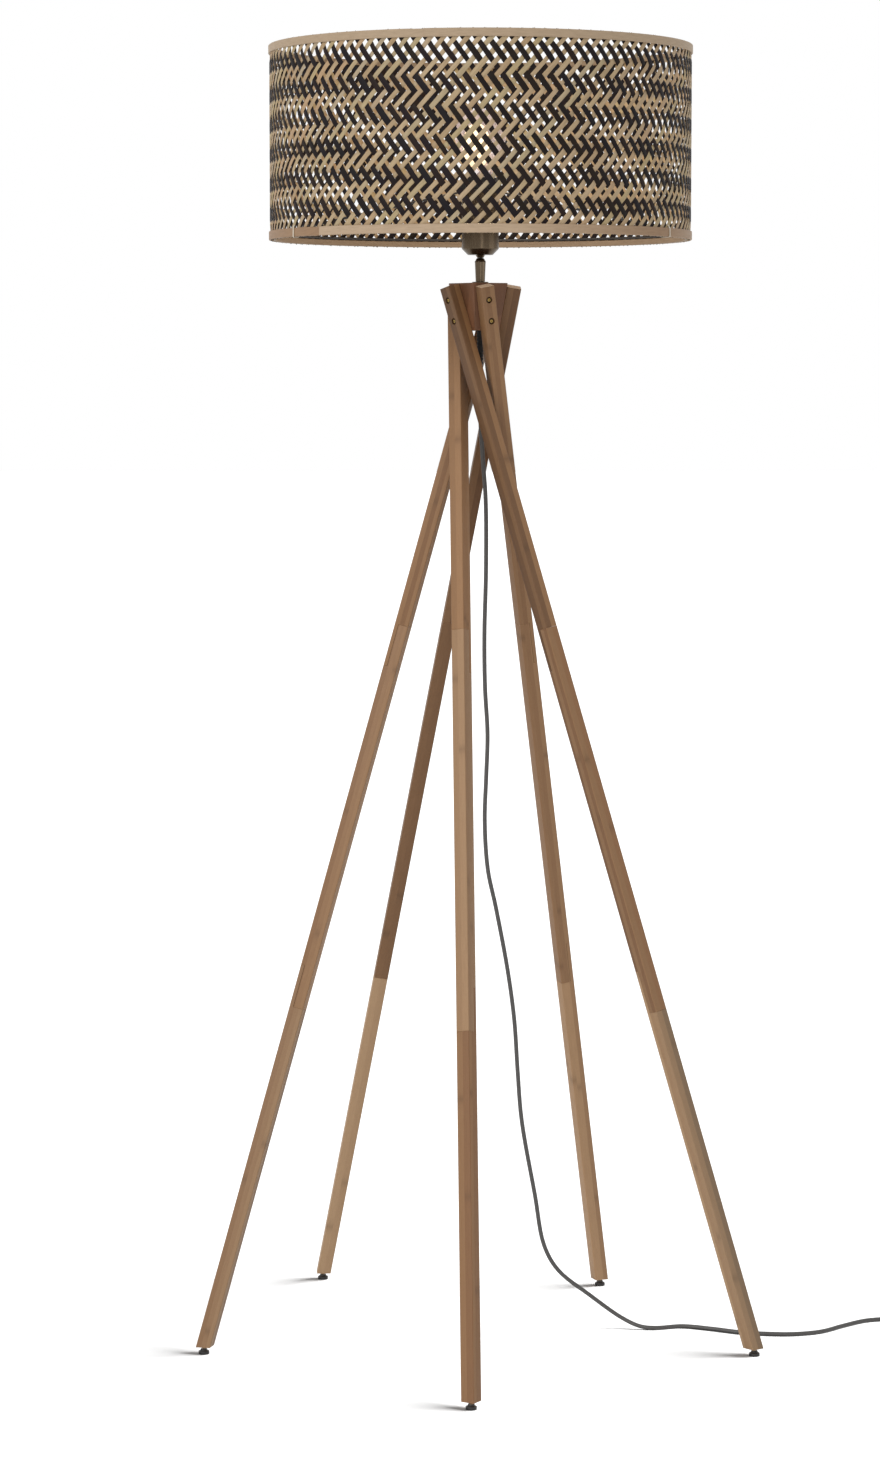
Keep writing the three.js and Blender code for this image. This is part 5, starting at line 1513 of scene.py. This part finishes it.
class FLOORLAMP_OT_rims(bpy.types.Operator):
    """Bends the rim strips and liners round both edges, and ties the fitter to the lower rim"""

    bl_idname = "floorlamp.rims"
    bl_label = "Rims and Ties"

    def execute(self, context):
        settings = context.scene.floorlamp_shade
        rim_tints = [linear(tint) for tint in ("#b39c80", "#a9927a", "#b59e82")]
        liner_tints = [linear(tint) for tint in ("#947f68", "#88735c", "#9b866e")]
        rim, pale_rim = (
            split_bamboo(
                name, shifted(settings.rim_colour, tone),
                [shifted(tint, tone) for tint in rim_tints], 0.5, 0.22, 0.35,
            )
            for name, tone in (
                ("Bent bamboo lath, scraped", 1.0), ("Bent bamboo lath, scraped pale", 1.17)
            )
        )
        liner = split_bamboo(
            "Bent bamboo lath, inside", settings.liner_colour, liner_tints, 0.5, 0.3, 0.4
        )
        # Each: name, node, the seam's turn in degrees from the front, number, material, browning
        bands = (
            ("Bottom rim strip", "bottom_rim_strip", -47.4, 501, pale_rim, 1.0),
            ("Top rim strip", "top_rim_strip", -14.6, 502, rim, 0.0),
            ("Bottom rim liner", "bottom_rim_liner", 140, 503, liner, 0.0),
            ("Top rim liner", "top_rim_liner", 205, 504, liner, 0.0),
        )
        for name, node, seam, number, material, browned in bands:
            piece = self.band(name, node, math.radians(seam), number, browned)
            settle(piece, material, "shade", "rim_bamboo", node)
        tie = settings.tie_colour
        peel = split_bamboo("Split rattan peel, pale", tie, [tie] * 2, 0.4, 0.4)
        ties = Slats()
        for index, turn in enumerate(ARM_TURNS):
            self.add_tie(ties, math.radians(turn), 600 + index)
        settle(ties.piece("Ties"), peel, "shade", "rim_bamboo")
        return {"FINISHED"}

    def band(self, name, node, seam, number, browned):
        """A lath bent round the drum, its skived ends lapping, and browned along part of it."""
        bottom, top, outer = extent(node)
        top -= TOP_TRIM * node.startswith("top")
        bottom += BOTTOM_TRIM * node.startswith("bottom")
        inner = bore(node)
        lap, skive = math.radians(9), math.radians(7)
        turns = np.linspace(0, 2 * math.pi + lap, 400)
        depth = outer - inner
        thin = depth * 0.46
        ease = np.clip((turns - lap) / skive, 0, 1)
        insides = inner + (depth - thin) * (1 - ease * ease * (3 - 2 * ease))
        fall = np.clip((turns - (2 * math.pi - skive)) / skive, 0, 1)
        outsides = outer - (depth - thin) * fall * fall * (3 - 2 * fall)
        half = (top - bottom) / 2 - 0.25
        sections, marks, browning = [], [], []
        for turn, r_in, r_out in zip(turns, insides, outsides):
            edge = min(0.55, (r_out - r_in) * 0.35)
            level = (top + bottom) / 2 - (0.25 if turn > 2 * math.pi - skive / 2 else 0)
            # Up the inner side and down the outer, with rounded edges
            radii = [r_in, r_in, r_in + edge, r_out - edge, *[r_out] * 4, r_out - edge, r_in + edge]
            rises = [edge - half, half - edge, half, half, half - edge, half * 0.4, half * -0.4,
                     edge - half, -half, -half]
            heights = [level + rise for rise in rises]
            around = on_drum(np.array(turn + seam), np.array(radii))
            sections.append([(x, y, z) for (x, y), z in zip(around, heights)])
            for radius, z in zip(radii, heights):
                marks += [z - bottom + (radius - inner) * 3, turn * outer, number]
            browning += [browned * np.interp(turn, *BROWNED)] * len(radii)
        piece = loft(name, sections)
        mark(piece, "slat", "FLOAT_VECTOR", marks)
        mark(piece, "browning", "FLOAT", browning)
        return piece

    def add_tie(self, ties, turn, number):
        bottom, top, outer = extent("bottom_rim_strip")
        bottom += BOTTOM_TRIM
        path = soften(
            [(outer - 2.2, top + 3.4), (outer + 0.5, top + 0.6), (outer + 0.55, bottom + 0.2),
             (outer - 0.6, bottom - 0.5), (outer - 8.8, bottom - 0.5), (outer - 9.0, top - 1),
             (outer - 8.6, top + 1.6), (outer - 5.6, top + 2.6)], 1.6, 5, loop=True,
        )
        radius, z = np.array(path).T
        slant = 0.012 * np.sin(np.linspace(0, 2 * math.pi, len(path), endpoint=False))
        centres = np.concatenate((on_drum(turn + slant, radius), z[:, None]), axis=1)
        along = unit(np.roll(centres, -1, axis=0) - np.roll(centres, 1, axis=0))
        across = np.tile(np.array([math.cos(turn), math.sin(turn), 0.0]), (len(path), 1))
        widths = np.full(len(path), 2.6)
        ties.add(centres, np.cross(along, across), across, widths, 0.5, number, closed=True)


class FLOORLAMP_OT_fitter(bpy.types.Operator):
    """Builds the painted wire fitter that carries the shade on the holder"""

    bl_idname = "floorlamp.fitter"
    bl_label = "Shade Fitter"

    def execute(self, context):
        fittings = context.scene.floorlamp_fittings
        paint = moulded_plastic("Steel wire, stove enamelled", fittings.wire, 0.38, 1.2)
        wire = 1.5
        low, high = (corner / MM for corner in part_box("shade_fitter"))
        reach = (high.y - low.y) / 2 - wire
        bottom, top = low.z + wire, high.z
        ring = [
            (reach + wire * math.cos(turn), bottom + wire * math.sin(turn))
            for turn in (2 * math.pi * step / 16 for step in range(16))
        ]
        parts = [lathe("Hoop", ring, sides=192, closed=True)]
        hole, rim, under = bore("shade_fitter"), bore("shade_fitter") + 7, top - 1.5
        parts.append(lathe("Plate", band_profile(hole, rim, under, top), closed=True))
        for turn in ARM_TURNS:
            turn = math.radians(turn)
            start = (hole + rim) / 2
            near = Vector((start * math.sin(turn), -start * math.cos(turn), under - 0.2))
            far = Vector((reach * math.sin(turn), -reach * math.cos(turn), bottom))
            length = (far - near).length
            aim = (far - near).to_track_quat("Z", "Y").to_matrix().to_4x4()
            spot = ON_AXIS @ Matrix.Translation(near * MM) @ aim
            parts.append(lathe("Arm", [(0, 0), (wire, 0.3), (wire, length), (0, length)], spot, 24))
        fitter = join(parts, "Shade fitter")
        settle(fitter, paint, "shade", "white_enamel", "shade_fitter")
        return {"FINISHED"}


class FLOORLAMP_PT_panel(bpy.types.Panel):
    """Buttons that build the lamp piece by piece, with the settings of each"""

    bl_idname = "FLOORLAMP_PT_panel"
    bl_label = "Floor Lamp"
    bl_space_type = "VIEW_3D"
    bl_region_type = "UI"
    bl_category = "Floor Lamp"

    def draw(self, context):
        for operator in OPERATORS:
            self.layout.operator(operator.bl_idname)
        for name, group in SETTINGS.items():
            box = self.layout.box()
            for setting in group.bl_rna.properties:
                if not setting.is_readonly and setting.identifier != "name":
                    box.prop(getattr(context.scene, name), setting.identifier)


SETTINGS = {
    "floorlamp_stage": StageSettings,
    "floorlamp_shade": ShadeSettings,
    "floorlamp_stand": StandSettings,
    "floorlamp_fittings": FittingSettings,
    "floorlamp_cord": CordSettings,
}

# In the order in which they are run
OPERATORS = (
    FLOORLAMP_OT_stage,
    FLOORLAMP_OT_cord,
    FLOORLAMP_OT_legs,
    FLOORLAMP_OT_hub,
    FLOORLAMP_OT_holder,
    FLOORLAMP_OT_bulb,
    FLOORLAMP_OT_weave,
    FLOORLAMP_OT_rims,
    FLOORLAMP_OT_fitter,
)


def register():
    for kind in (*SETTINGS.values(), *OPERATORS, FLOORLAMP_PT_panel):
        bpy.utils.register_class(kind)
    for name, group in SETTINGS.items():
        setattr(bpy.types.Scene, name, PointerProperty(type=group))


def unregister():
    for name in SETTINGS:
        delattr(bpy.types.Scene, name)
    for kind in reversed((*SETTINGS.values(), *OPERATORS, FLOORLAMP_PT_panel)):
        bpy.utils.unregister_class(kind)


def main():
    register()
    for operator in OPERATORS:
        group, name = operator.bl_idname.split(".")
        getattr(getattr(bpy.ops, group), name)()
    bpy.context.scene.view_settings.view_transform = "Standard"


if __name__ == "__main__":
    main()
